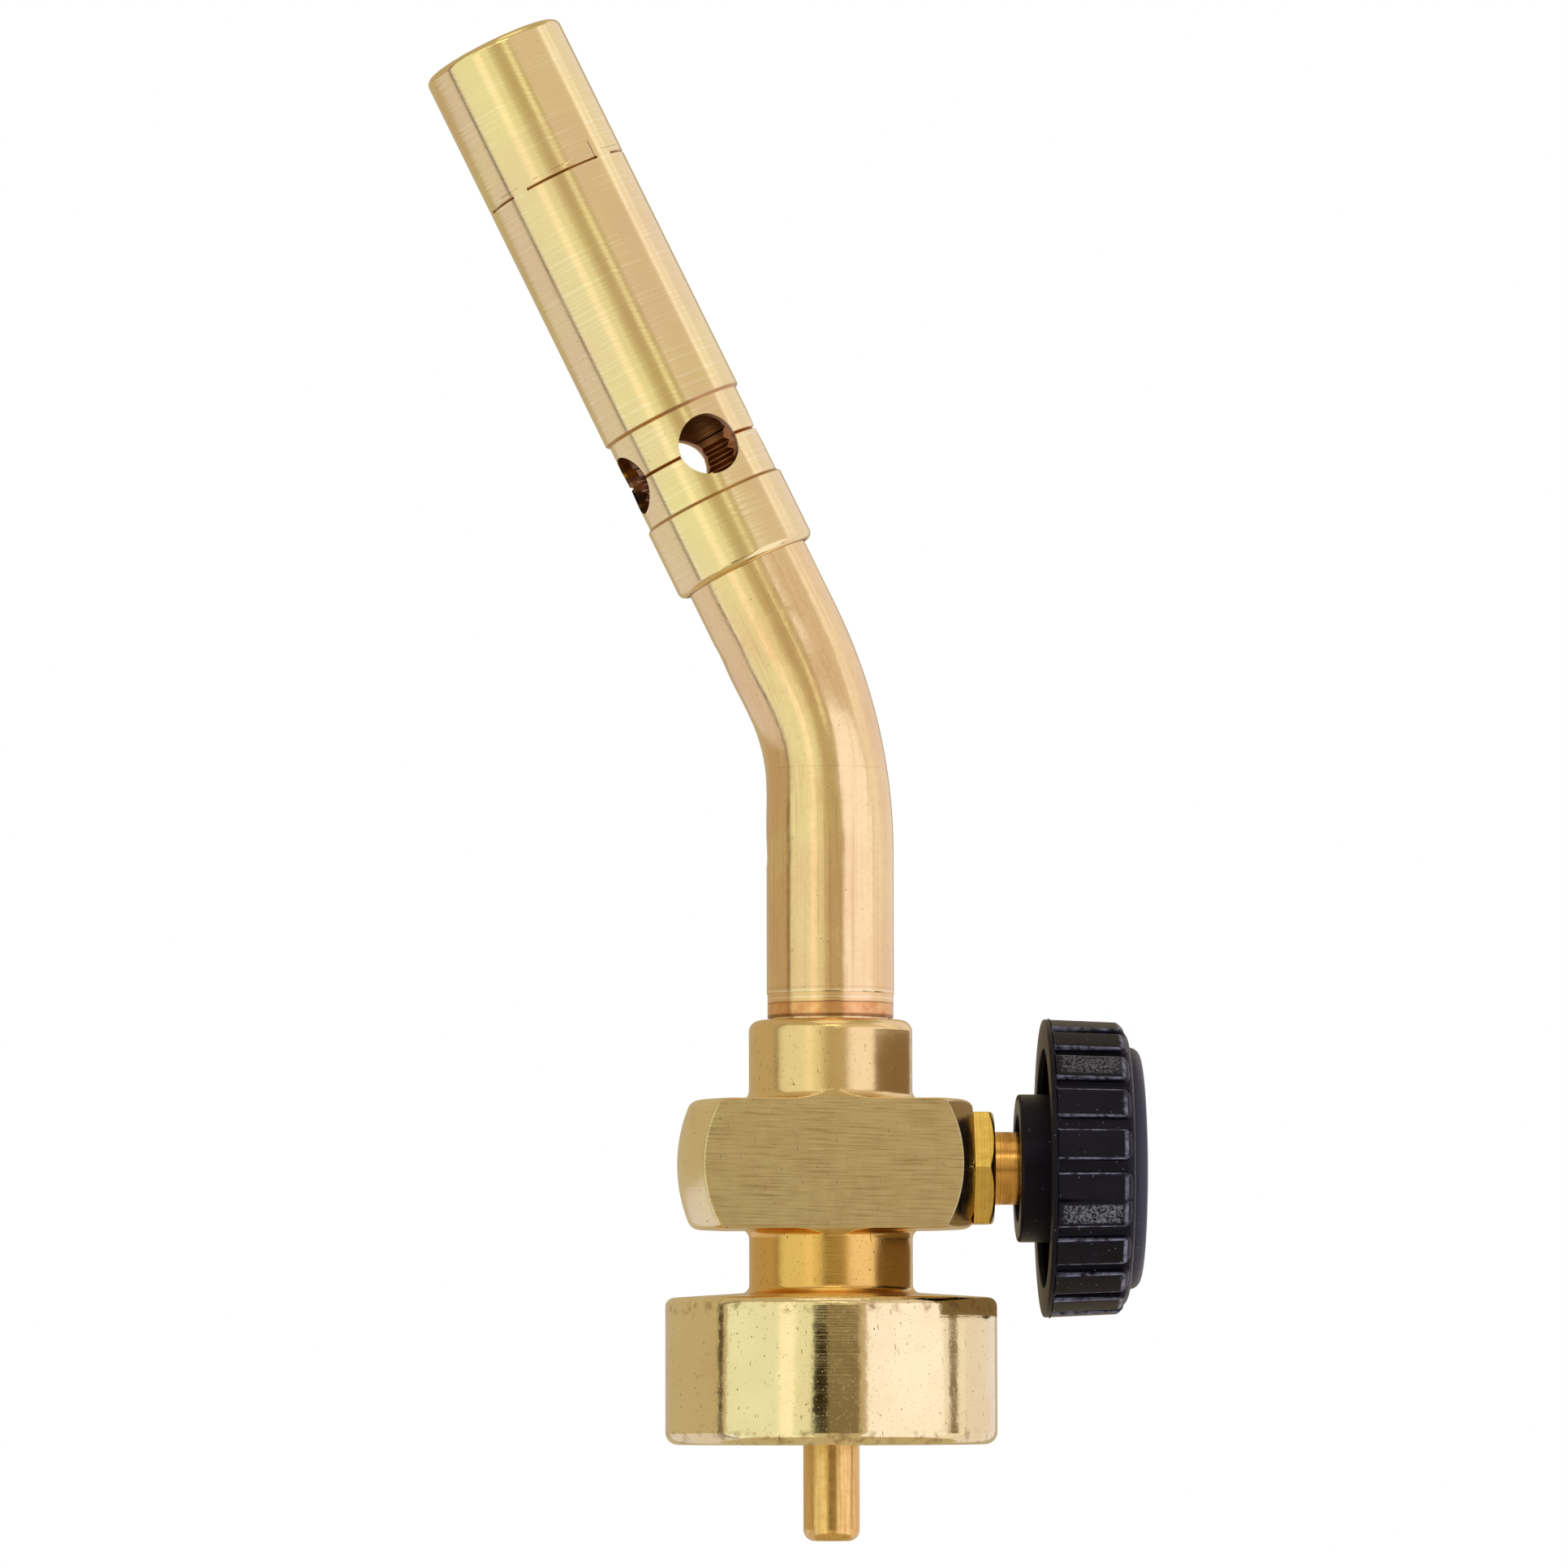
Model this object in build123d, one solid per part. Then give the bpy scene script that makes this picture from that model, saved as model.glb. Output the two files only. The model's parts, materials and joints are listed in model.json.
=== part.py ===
from build123d import *
import os
from math import atan2, cos, degrees, hypot, radians, sin, sqrt, tan

# Hand torch head: a brass pencil-flame burner that screws onto a 1 inch - 20 gas cylinder.
#
# Sizes are in millimetres. The origin is the centre of the cylinder collar's mouth, +Z runs up the
# valve body along the thread axis, +X runs along the valve stem towards the knob, and the burner
# leans from +Z towards -X.

# ---- Clearances shared by every fit ----
RUN_CLEARANCE = 0.05  # radial, where a piece turns or slides
SLIP_CLEARANCE = 0.02  # radial or end gap, where a piece is pushed in and stays
STOP_CLEARANCE = 0.04  # end gap left when the valve is fully open
TOOL = 60.0  # longer than any cut needs
PAST = 1.0  # how far a cutter runs past the face that it opens
LAP = 0.1  # how far two cutters in a row run into each other, or a cutter's edge stands off

# ---- Cylinder connection: 1 in - 20 thread, collar and neck ----
THREAD_MAJOR_D = 25.4
THREAD_PITCH = 1.27
THREAD_DEPTH_SHARE = 1.0825  # internal thread: major minus minor diameter, in pitches
THREAD_LENGTH = 8.9
THREAD_LEAD_IN = 0.6
THREAD_RELIEF = 1.0
RELIEF_SLOPE = 0.4
COLLAR_WALL = 3.2
COLLAR_ROOF = 3.5
COLLAR_TOP_RISE = 0.45
COLLAR_TOP_EDGE_R = 0.9
COLLAR_MOUTH_EDGE_R = 1.2
NECK_D = 15.7
LOWER_NECK_L = 6.55
UPPER_NECK_L = 7.65
NECK_ROOT_R = 0.9
NECK_FOOT_R = 0.8
NECK_EDGE_R = 1.1
THREAD_MAJOR_R = THREAD_MAJOR_D / 2
THREAD_MINOR_R = (THREAD_MAJOR_D - THREAD_DEPTH_SHARE * THREAD_PITCH) / 2
THREAD_TOP_Z = THREAD_LEAD_IN + THREAD_LENGTH
SEAT_FLOOR_Z = THREAD_TOP_Z + THREAD_RELIEF
COLLAR_D = THREAD_MAJOR_D + 2 * COLLAR_WALL
COLLAR_H = SEAT_FLOOR_Z + COLLAR_ROOF

# ---- Valve barrel: a ball turned on the neck, with wrench flats and a spot face for the gland ----
BARREL_D = 29.5
BARREL_H = 12.4
BARREL_EDGE_R = 1.2
FLAT_PROUD = 0.05  # how far each wrench flat stands outside the neck
FLAT_EDGE = 0.12
FLAT_EDGE_ANGLE = 48.5  # of the broken edge, from the flat
SPOT_FACE_DEPTH = 1.25
BARREL_Z = COLLAR_H + LOWER_NECK_L + BARREL_H / 2
NECK_TOP_Z = BARREL_Z + BARREL_H / 2 + UPPER_NECK_L
FLAT_GAP = NECK_D + 2 * FLAT_PROUD
SPOT_FACE_X = BARREL_D / 2 - SPOT_FACE_DEPTH

# ---- Inlet: probe, its seals, and the filter above it ----
PROBE_SHANK_R = 5.9
PROBE_SHANK_L = 4.5
PROBE_R = 2.7
PROBE_TIP_Z = -9.2
PROBE_TIP_R = 1.1
PROBE_WAIST_STEP = 0.2
PROBE_BOSS_T = 2.1
PROBE_HEX_T = 2.4
PROBE_HEX_SHOULDER = 0.4
PROBE_HEX_CHAMFER_SLOPE = 0.5
PROBE_BORE_R = 0.8
PROBE_ROOM_R = 2.6
INLET_SEAL_CORD = 2.2
INLET_SEAL_GAP = 0.1
GASKET_T = 0.5
GASKET_MARGIN = 0.1
FILTER_STEP = 0.5
FILTER_ROOM_H = 2.6
FILTER_T = 1.6
PROBE_SHANK_TOP_Z = SEAT_FLOOR_Z + PROBE_SHANK_L
PROBE_WAIST_R = PROBE_R - PROBE_WAIST_STEP
PROBE_BOSS_R = PROBE_WAIST_R + INLET_SEAL_CORD
PROBE_HEX_AF = 2 * (PROBE_SHANK_R + PROBE_HEX_SHOULDER)
PROBE_HEX_CORNER_R = PROBE_HEX_AF / sqrt(3)
PROBE_HEX_TOP_Z = SEAT_FLOOR_Z - GASKET_T
PROBE_HEX_Z = PROBE_HEX_TOP_Z - PROBE_HEX_T
PROBE_BOSS_Z = PROBE_HEX_Z - PROBE_BOSS_T
PROBE_WAIST_Z = PROBE_BOSS_Z - INLET_SEAL_CORD - INLET_SEAL_GAP
GASKET_R = PROBE_HEX_CORNER_R + GASKET_MARGIN
FILTER_ROOM_R = PROBE_SHANK_R - FILTER_STEP
FILTER_ROOM_TOP_Z = PROBE_SHANK_TOP_Z + FILTER_ROOM_H

# ---- Gas passages in the body. X runs from the inlet hole along the stem ----
STEM_DROP = 0.35
INLET_HOLE_R = 1.1
INLET_HOLE_MARGIN = 0.1
ORIFICE_R = 0.9
ORIFICE_L = 2.0
CHAMBER_R = 2.4
CHAMBER_L = 3.8
OUTLET_HOLE_R = 1.2
STEM_Z = BARREL_Z - STEM_DROP
INLET_HOLE_X = -(FILTER_ROOM_R - INLET_HOLE_R - INLET_HOLE_MARGIN)
SEAT_X = INLET_HOLE_X + ORIFICE_L
CHAMBER_END_X = SEAT_X + CHAMBER_L

# ---- Valve stem, gland and seals ----
STEM_R = 3.5
STEM_TURNS = 1.5
STEM_THREAD_PITCH = 25.4 / 28
STEM_THREAD_STEP = 0.35
STEM_THREAD_DEPTH = 0.35
STEM_THREAD_L = 4.0
STEM_NOSE_R = 1.7
NOSE_TO_SEAT = 1.3
STEM_COLLAR_T = 0.6
STEM_COLLAR_GAP = 0.15
SHOULDER_CLEARANCE = 0.2
SEAL_GROOVE_DEPTH = 0.5
SEAL_ROOM = 0.9
SEAL_SQUEEZE = 0.08
BACKUP_T = 0.5
GLAND_THREAD_STEP = 0.36
HEX_SHOULDER = 0.59
HEX_T = 2.05
HEX_CHAMFER = 0.55
HEX_LIP = 0.15
TIP_SHANK_R = 0.8
TIP_SHANK_L = 2.0
TIP_CONE_R = 1.45
TIP_CONE_L = 1.1
TIP_LAND_L = 0.35
SEAT_GAP = 0.05
STEM_THREAD_R = STEM_R - STEM_THREAD_STEP
STEM_GROOVE_R = STEM_R - SEAL_GROOVE_DEPTH
GLAND_BORE_R = STEM_R + SEAL_ROOM
STEM_COLLAR_R = GLAND_BORE_R - STEM_COLLAR_GAP
GLAND_THREAD_R = GLAND_BORE_R + GLAND_THREAD_STEP
HEX_AF = 2 * (GLAND_THREAD_R + HEX_SHOULDER)
HEX_CORNER_R = HEX_AF / sqrt(3)
HEX_END_X = SPOT_FACE_X + HEX_T
SEAL_W = GLAND_BORE_R - STEM_GROOVE_R - SEAL_SQUEEZE
STEM_TRAVEL = STEM_TURNS * STEM_THREAD_PITCH
STEM_NOSE_X = SEAT_X + NOSE_TO_SEAT
STEM_THREAD_START_X = CHAMBER_END_X + SHOULDER_CLEARANCE
STEM_THREAD_END_X = CHAMBER_END_X + STEM_THREAD_L
STEM_SEAL_BACK_X = STEM_THREAD_END_X + SHOULDER_CLEARANCE + STEM_COLLAR_T
STEM_SEAL_FRONT_X = STEM_SEAL_BACK_X + SEAL_W + BACKUP_T
STEM_COLLAR_END_X = STEM_SEAL_FRONT_X + STEM_COLLAR_T
GLAND_END_X = STEM_COLLAR_END_X + STEM_TRAVEL + STOP_CLEARANCE

# ---- Knob, with its screw and washer ----
KNOB_R = 14.3
KNOB_T = 8.0
KNOB_DRAFT = 0.3
KNOB_LIP_T = 0.55
RIB_H = 0.75
RIB_COUNT_PER_HALF = 11
RIB_ANGLE = 11.6
SEAM_ANGLE = 14.0  # where the two groups of ribs meet, down from the knob's front
SEAM_PITCH = 9.9  # between the two ribs beside a seam
SEAM_W = 0.22
SEAM_DEPTH = 0.3
RIB_CORNER_R = 0.7
RIB_FRONT_EDGE = 0.5
RIB_ROOT = 0.6
DRUM_EDGE_R = 0.9
DRUM_WALL = 2.05
WEB_T = 2.0
HUB_GAP = 2.35
HUB_PROUD = 2.5
HUB_WALL = 1.9
HUB_EDGE_R = 0.3
HUB_RECESS_GAP = 1.7
SPINDLE_STEP = 1.0
SPINDLE_FLAT_CUT = 0.5
SPINDLE_SHORT = 1.0
STIFFENERS = 6
STIFFENER_T = 1.0
STIFFENER_SETBACK = 1.5
CAP_SET_IN = 1.95
CAP_LIP = 1.1
CAP_SEAT_DEPTH = 1.0
CAP_RISE = 1.75
CAP_CROWN = 0.6
CAP_EDGE_R = 1.0
CAP_SPIGOT_T = 1.2
SCREW_R = 1.5
SCREW_L = 7.0
SCREW_END_GAP = 0.5
SCREW_HEAD_R = 2.75
SCREW_HEAD_H = 1.6
SCREW_SLOT_W = 0.7
SCREW_SLOT_DEPTH = 0.8
WASHER_R = 3.2
WASHER_T = 0.5
WASHER_ROOM = 0.4
DRUM_R = KNOB_R - RIB_H
RIM_INNER_R = DRUM_R - DRUM_WALL
CAP_R = DRUM_R - CAP_SET_IN
CAP_SEAT_R = CAP_R - CAP_LIP
HUB_RECESS_R = STEM_R + HUB_RECESS_GAP
HUB_R = HUB_RECESS_R + HUB_WALL
SPINDLE_R = STEM_R - SPINDLE_STEP
SPINDLE_FLAT = SPINDLE_R - SPINDLE_FLAT_CUT
HUB_BACK_X = HEX_END_X + HUB_GAP
KNOB_BACK_X = HUB_BACK_X + HUB_PROUD
KNOB_FRONT_X = KNOB_BACK_X + KNOB_T
CAP_SEAT_X = KNOB_FRONT_X - CAP_SEAT_DEPTH
WEB_BACK_X = CAP_SEAT_X - WEB_T
WASHER_BACK_X = CAP_SEAT_X - SCREW_HEAD_H - WASHER_T - SLIP_CLEARANCE
SPINDLE_END_X = WASHER_BACK_X - SPINDLE_SHORT

# ---- Bent gas tube, with the brazed joint where it enters the body ----
TUBE_R = 6.12
TUBE_WALL = 1.2
TUBE_END_STEP = 0.5
TUBE_SOCKET_DEPTH = 6.0
TUBE_SOCKET_LEAD_IN = 0.35
TUBE_RISE = 27.4
BAND_STEP = 0.07
BAND_GAP = 0.22
BAND_H = 2.3
BEND_ANGLE = 26.1
BEND_OUTER_R = 54.5
BEND_INNER_R = 16.1
BEND_LEAD = 0.3  # the sections' centre line is this much wider than the outer side's arc
BEND_SECTIONS = 9
TUBE_BORE_R = TUBE_R - TUBE_WALL
TUBE_END_R = TUBE_R - TUBE_END_STEP
SOCKET_R = TUBE_END_R + SLIP_CLEARANCE
SOCKET_FLOOR_Z = NECK_TOP_Z - TUBE_SOCKET_DEPTH
BAND_R = TUBE_R - BAND_STEP
BAND_Z = NECK_TOP_Z + BAND_GAP
TUBE_SHOULDER_Z = BAND_Z + BAND_H
BEND_Z = NECK_TOP_Z + TUBE_RISE
BEND_TAN = tan(radians(BEND_ANGLE) / 2)

# ---- Burner: distances run along its own axis from the collar's lower end ----
BURNER_START = 18.05  # from where the tube's two centre lines cross
BURNER_L = 56.0
FOOT_WALL = 0.95
FOOT_EDGE_R = 0.7
AIR_BAND_START = 7.1
AIR_BAND_L = 9.4
AIR_BAND_STEP = 0.31
SCRIBE_RISE = 4.8
SCRIBE_W = 0.36
SCRIBE_DEPTH = 0.28
AIR_HOLE_R = 2.95
AIR_HOLES = 4
AIR_HOLE_TURN = 14.0
MOUTH_WALL = 0.82
MOUTH_EDGE_R = 0.7
MOUTH_L = 13.1
HOLDER_T = 2.7
HOLDER_STEP = 0.3
MIX_STEP = 0.25
TUBE_SEAT_DEPTH = 6.0
BURNER_THREAD_STEP = 0.2
BURNER_THREAD_PITCH = 1.0
BURNER_THREAD_DEPTH = 0.42
BURNER_THREAD_L = 7.2
BURNER_THREAD_START = 0.8
CRIMP_W = 0.32
CRIMP_DEPTH = 0.16
CRIMP_STARTS = (-160, -78, -28, 52)  # degrees round from the burner's front face
CRIMP_ARCS = (60, 36, 64, 70)
FOOT_BORE_R = TUBE_R + SLIP_CLEARANCE
BURNER_R = TUBE_R + FOOT_WALL
AIR_BAND_R = BURNER_R - AIR_BAND_STEP
AIR_BAND_END = AIR_BAND_START + AIR_BAND_L
SCRIBE_AT = AIR_BAND_START + SCRIBE_RISE
MOUTH_BORE_R = BURNER_R - MOUTH_WALL
HOLDER_SEAT_R = MOUTH_BORE_R - HOLDER_STEP
MIX_BORE_R = HOLDER_SEAT_R - MIX_STEP
BURNER_THREAD_R = MIX_BORE_R - BURNER_THREAD_STEP
BURNER_THREAD_END = TUBE_SEAT_DEPTH + BURNER_THREAD_L
HOLDER_AT = BURNER_L - MOUTH_L - HOLDER_T
CRIMP_AT = HOLDER_AT + HOLDER_T / 2

# ---- Jet, its holder and its filter, inside the top of the gas tube, and the flame holder ----
JET_SHANK_L = 5.0
JET_FLANGE_GAP = 0.1
JET_FLANGE_T = 1.2
JET_NOSE_R = 2.2
JET_NOSE_L = 2.2
JET_HOLDER_WALL = 1.7
JET_ROOM_L = 4.0
JET_R = 1.2
JET_L = 2.6
JET_WALL = 0.48
JET_FACE_T = 0.8
JET_HOLE_R = 0.2
JET_PROUD = 0.4
JET_FILTER_T = 2.0
HOLDER_BORE_R = 2.1
HOLDER_SLOTS = 8
HOLDER_SLOT_W = 1.3
HOLDER_RING_T = 1.9
JET_SHANK_R = TUBE_BORE_R - SLIP_CLEARANCE
JET_ROOM_R = JET_SHANK_R - JET_HOLDER_WALL
JET_FLANGE_R = BURNER_THREAD_R - JET_FLANGE_GAP
JET_FOOT_AT = TUBE_SEAT_DEPTH - JET_SHANK_L
JET_FLANGE_END = TUBE_SEAT_DEPTH + JET_FLANGE_T
JET_NOSE_END = JET_FLANGE_END + JET_NOSE_L
JET_END = JET_NOSE_END + JET_PROUD


def turned(points):
    """A solid of revolution about Z from a closed outline of (radius, height) points."""
    outline = make_face(Polyline(*points, close=True))
    return revolve(Plane.XZ * outline, Axis.Z, 360)


def rod(radius, start, end):
    """A cylinder about Z from one height to another."""
    return Pos(0, 0, start) * Cylinder(
        radius, end - start, align=(Align.CENTER, Align.CENTER, Align.MIN)
    )


def pipe(outer, inner, start, end):
    """A plain tube about Z."""
    return rod(outer, start, end) - rod(inner, start, end)


def hex_rod(across_flats, start, end):
    """A hexagonal bar about Z with a corner towards its own Y."""
    face = RegularPolygon(across_flats / 2, 6, major_radius=False, rotation=30)
    return Pos(0, 0, start) * extrude(face, end - start)


def round_edges(solid, radius, wanted):
    """Fillets the circular edges that the test picks."""
    return fillet([e for e in solid.edges().filter_by(GeomType.CIRCLE) if wanted(e)], radius)


def circle_at(height, radius):
    """A test for a full circle about Z of that height and radius."""

    def test(edge):
        centre = edge.arc_center
        return (
            abs(centre.Z - height) < 1e-3
            and hypot(centre.X, centre.Y) < 1e-3
            and abs(edge.radius - radius) < 1e-3
        )

    return test


def along_stem(piece):
    """Lays a piece made about Z along the valve stem, so that its Z becomes the row's +X."""
    return Pos(0, 0, STEM_Z) * Rot(0, 90, 0) * piece


def along_burner(piece):
    """Stands a piece made about Z on the burner's leaning axis."""
    return Pos(0, 0, BEND_Z) * Rot(0, -BEND_ANGLE, 0) * Pos(0, 0, BURNER_START) * piece


def ring_thread(crest_r, root_r, start, end, pitch):
    """Ring grooves that stand for a cut thread: a solid to take away from a bore of crest_r."""
    count = int((end - start) / pitch)
    crest = pitch / 8
    rings = []
    for turn in range(count):
        low = start + turn * pitch + crest / 2
        high = low + pitch - crest
        middle = (low + high) / 2
        inside = crest_r - LAP
        root = pitch / 16
        rings.append(
            turned(
                [
                    (inside, low),
                    (crest_r, low),
                    (root_r, middle - root),
                    (root_r, middle + root),
                    (crest_r, high),
                    (inside, high),
                ]
            )
        )
    return rings


# ---- Valve body ----


def body_blank():
    """The turned outside: collar, neck and ball-sided barrel in one piece of brass."""
    top_z = COLLAR_H + COLLAR_TOP_RISE
    cone_r = NECK_D / 2 + NECK_ROOT_R
    collar = turned([(0, 0), (COLLAR_D / 2, 0), (COLLAR_D / 2, COLLAR_H), (cone_r, top_z), (0, top_z)])
    neck = rod(NECK_D / 2, 0, NECK_TOP_Z)
    slab = Pos(0, 0, BARREL_Z) * Box(TOOL, TOOL, BARREL_H)
    ball = (Pos(0, 0, BARREL_Z) * Sphere(BARREL_D / 2)) & slab
    blank = collar + neck + ball
    barrel_edge = sqrt((BARREL_D / 2) ** 2 - (BARREL_H / 2) ** 2)
    low, high = BARREL_Z - BARREL_H / 2, BARREL_Z + BARREL_H / 2
    for height, radius, size in (
        (0, COLLAR_D / 2, COLLAR_MOUTH_EDGE_R),
        (COLLAR_H, COLLAR_D / 2, COLLAR_TOP_EDGE_R),
        (top_z, NECK_D / 2, NECK_FOOT_R),
        (low, NECK_D / 2, NECK_ROOT_R),
        (high, NECK_D / 2, NECK_ROOT_R),
        (NECK_TOP_Z, NECK_D / 2, NECK_EDGE_R),
        (low, barrel_edge, BARREL_EDGE_R),
        (high, barrel_edge, BARREL_EDGE_R),
    ):
        blank = round_edges(blank, size, circle_at(height, radius))
    return blank


def barrel_flats():
    """What is milled off the front and back of the barrel, with the round edge of each flat broken."""
    cut_h = BARREL_H + 2 * NECK_ROOT_R
    flat_depth = (BARREL_D - FLAT_GAP) / 2
    edge_r = sqrt((BARREL_D / 2) ** 2 - (FLAT_GAP / 2) ** 2) - FLAT_EDGE
    run = BARREL_D / 2 - edge_r
    drop = run * tan(radians(FLAT_EDGE_ANGLE))
    cone = turned(
        [
            (edge_r, FLAT_GAP / 2),
            (edge_r + run, FLAT_GAP / 2 - drop),
            (edge_r + run, FLAT_GAP / 2 + PAST),
            (edge_r, FLAT_GAP / 2 + PAST),
        ]
    )
    slab = Pos(0, 0, BARREL_Z) * Box(TOOL, TOOL, BARREL_H)
    cuts = []
    for side in (-1, 1):
        middle_y = side * (FLAT_GAP + flat_depth) / 2
        cuts.append(Pos(0, middle_y, BARREL_Z) * Box(TOOL, flat_depth, cut_h))
        cuts.append((Pos(0, 0, BARREL_Z) * Rot(-90 * side, 0, 0) * cone) & slab)
    return cuts


def collar_bore():
    """The threaded socket: lead-in cone, thread's crest, relief and flat seat."""
    lead_end = THREAD_MAJOR_R + THREAD_LEAD_IN - THREAD_MINOR_R
    bore = turned(
        [
            (0, -PAST),
            (THREAD_MAJOR_R + THREAD_LEAD_IN, -PAST),
            (THREAD_MAJOR_R + THREAD_LEAD_IN, 0),
            (THREAD_MINOR_R, lead_end),
            (THREAD_MINOR_R, THREAD_TOP_Z),
            (THREAD_MAJOR_R, THREAD_TOP_Z + RELIEF_SLOPE),
            (THREAD_MAJOR_R, SEAT_FLOOR_Z),
            (0, SEAT_FLOOR_Z),
        ]
    )
    rings = ring_thread(THREAD_MINOR_R, THREAD_MAJOR_R, lead_end, THREAD_TOP_Z, THREAD_PITCH)
    return [bore, *rings]


def tube_socket():
    """The bore that the gas tube is brazed into, with its lead-in."""
    low = NECK_TOP_Z - TUBE_SOCKET_LEAD_IN
    wide = SOCKET_R + TUBE_SOCKET_LEAD_IN
    lead_in = turned(
        [(0, low), (SOCKET_R, low), (wide, NECK_TOP_Z), (wide, NECK_TOP_Z + PAST), (0, NECK_TOP_Z + PAST)]
    )
    return [rod(SOCKET_R, SOCKET_FLOOR_Z, NECK_TOP_Z + PAST), lead_in]


def stem_bores():
    """The stepped bore along the stem, from the orifice out to the gland's thread."""
    steps = [
        (ORIFICE_R, INLET_HOLE_X, SEAT_X + LAP),
        (CHAMBER_R, SEAT_X, CHAMBER_END_X + LAP),
        (STEM_THREAD_R + RUN_CLEARANCE, CHAMBER_END_X, STEM_THREAD_END_X + LAP),
        (GLAND_BORE_R, STEM_THREAD_END_X, GLAND_END_X + LAP),
        (GLAND_THREAD_R, GLAND_END_X, SPOT_FACE_X + PAST),
    ]
    return [along_stem(rod(*step)) for step in steps]


def body_cuts():
    """Everything bored or milled out of the blank."""
    cut_h = BARREL_H + 2 * NECK_ROOT_R
    spot = Pos(SPOT_FACE_X + BARREL_D / 4, 0, BARREL_Z) * Box(BARREL_D / 2, BARREL_D, cut_h)
    passages = [
        rod(PROBE_SHANK_R, SEAT_FLOOR_Z - PAST, PROBE_SHANK_TOP_Z),
        rod(FILTER_ROOM_R, PROBE_SHANK_TOP_Z - PAST, FILTER_ROOM_TOP_Z),
        Pos(INLET_HOLE_X, 0, 0) * rod(INLET_HOLE_R, FILTER_ROOM_TOP_Z - PAST, STEM_Z),
        rod(OUTLET_HOLE_R, STEM_Z, SOCKET_FLOOR_Z + PAST),
    ]
    return [*barrel_flats(), spot, *collar_bore(), *passages, *tube_socket(), *stem_bores()]


def valve_body():
    body = body_blank()
    for cut in body_cuts():
        body -= cut
    return body


# ---- Inlet side ----


def inlet_probe():
    """The hollow pin that opens the cylinder's valve, with a hexagon and a screwed shank behind it."""
    probe = rod(PROBE_R, PROBE_TIP_Z, PROBE_WAIST_Z)
    probe = round_edges(probe, PROBE_TIP_R, circle_at(PROBE_TIP_Z, PROBE_R))
    probe += rod(PROBE_WAIST_R, PROBE_WAIST_Z, PROBE_BOSS_Z)
    probe += rod(PROBE_BOSS_R, PROBE_BOSS_Z, PROBE_HEX_Z)
    flat_r, corner_r = PROBE_HEX_AF / 2, PROBE_HEX_CORNER_R + LAP
    cone = turned(
        [
            (0, PROBE_HEX_Z),
            (flat_r, PROBE_HEX_Z),
            (corner_r, PROBE_HEX_Z + (corner_r - flat_r) * PROBE_HEX_CHAMFER_SLOPE),
            (corner_r, PROBE_HEX_TOP_Z),
            (0, PROBE_HEX_TOP_Z),
        ]
    )
    probe += hex_rod(PROBE_HEX_AF, PROBE_HEX_Z, PROBE_HEX_TOP_Z) & cone
    probe += rod(PROBE_SHANK_R - SLIP_CLEARANCE, PROBE_HEX_TOP_Z, PROBE_SHANK_TOP_Z)
    probe -= rod(PROBE_BORE_R, PROBE_TIP_Z - PAST, PROBE_SHANK_TOP_Z)
    return probe - rod(PROBE_ROOM_R, PROBE_HEX_Z, PROBE_SHANK_TOP_Z + PAST)


def inlet_seal():
    cord_r = INLET_SEAL_CORD / 2
    return Pos(0, 0, PROBE_BOSS_Z - cord_r) * Torus(PROBE_WAIST_R + cord_r, cord_r)


def probe_gasket():
    return pipe(GASKET_R, PROBE_SHANK_R, PROBE_HEX_TOP_Z, SEAT_FLOOR_Z)


def inlet_filter():
    low = PROBE_SHANK_TOP_Z + SLIP_CLEARANCE
    return rod(FILTER_ROOM_R - SLIP_CLEARANCE, low, low + FILTER_T)


# ---- Valve stem and gland ----


def gland_nut():
    """Hexagon nut that closes the stem's bore, screwed in against the spot face."""
    corner_r = HEX_CORNER_R + LAP
    cone = turned(
        [
            (0, SPOT_FACE_X),
            (corner_r, SPOT_FACE_X),
            (corner_r, HEX_END_X - HEX_CHAMFER),
            (HEX_AF / 2 - HEX_LIP, HEX_END_X),
            (0, HEX_END_X),
        ]
    )
    nut = hex_rod(HEX_AF, SPOT_FACE_X, HEX_END_X) & cone
    nut += rod(GLAND_THREAD_R - SLIP_CLEARANCE, GLAND_END_X, SPOT_FACE_X)
    return along_stem(nut - rod(STEM_R + RUN_CLEARANCE, GLAND_END_X - PAST, HEX_END_X + PAST))


def stem_thread_rings():
    """Vee grooves round the stem that stand for its thread: solids to take away."""
    turns = int((STEM_THREAD_END_X - STEM_THREAD_START_X) / STEM_THREAD_PITCH)
    half = STEM_THREAD_PITCH * 7 / 16  # leaves a narrow crest between two grooves
    root_r = STEM_THREAD_R - STEM_THREAD_DEPTH
    rings = []
    for turn in range(turns):
        middle = STEM_THREAD_START_X + (turn + 0.5) * STEM_THREAD_PITCH
        rings.append(
            turned(
                [
                    (STEM_THREAD_R + LAP, middle - half),
                    (STEM_THREAD_R, middle - half),
                    (root_r, middle),
                    (STEM_THREAD_R, middle + half),
                    (STEM_THREAD_R + LAP, middle + half),
                ]
            )
        )
    return rings


def flatted_rod(radius, flat, start, end):
    """A rod about Z with one flat at that distance towards its own +X."""
    slab = Pos(flat + radius, 0, (start + end) / 2) * Box(2 * radius, 4 * radius, end - start)
    return rod(radius, start, end) - slab


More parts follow.
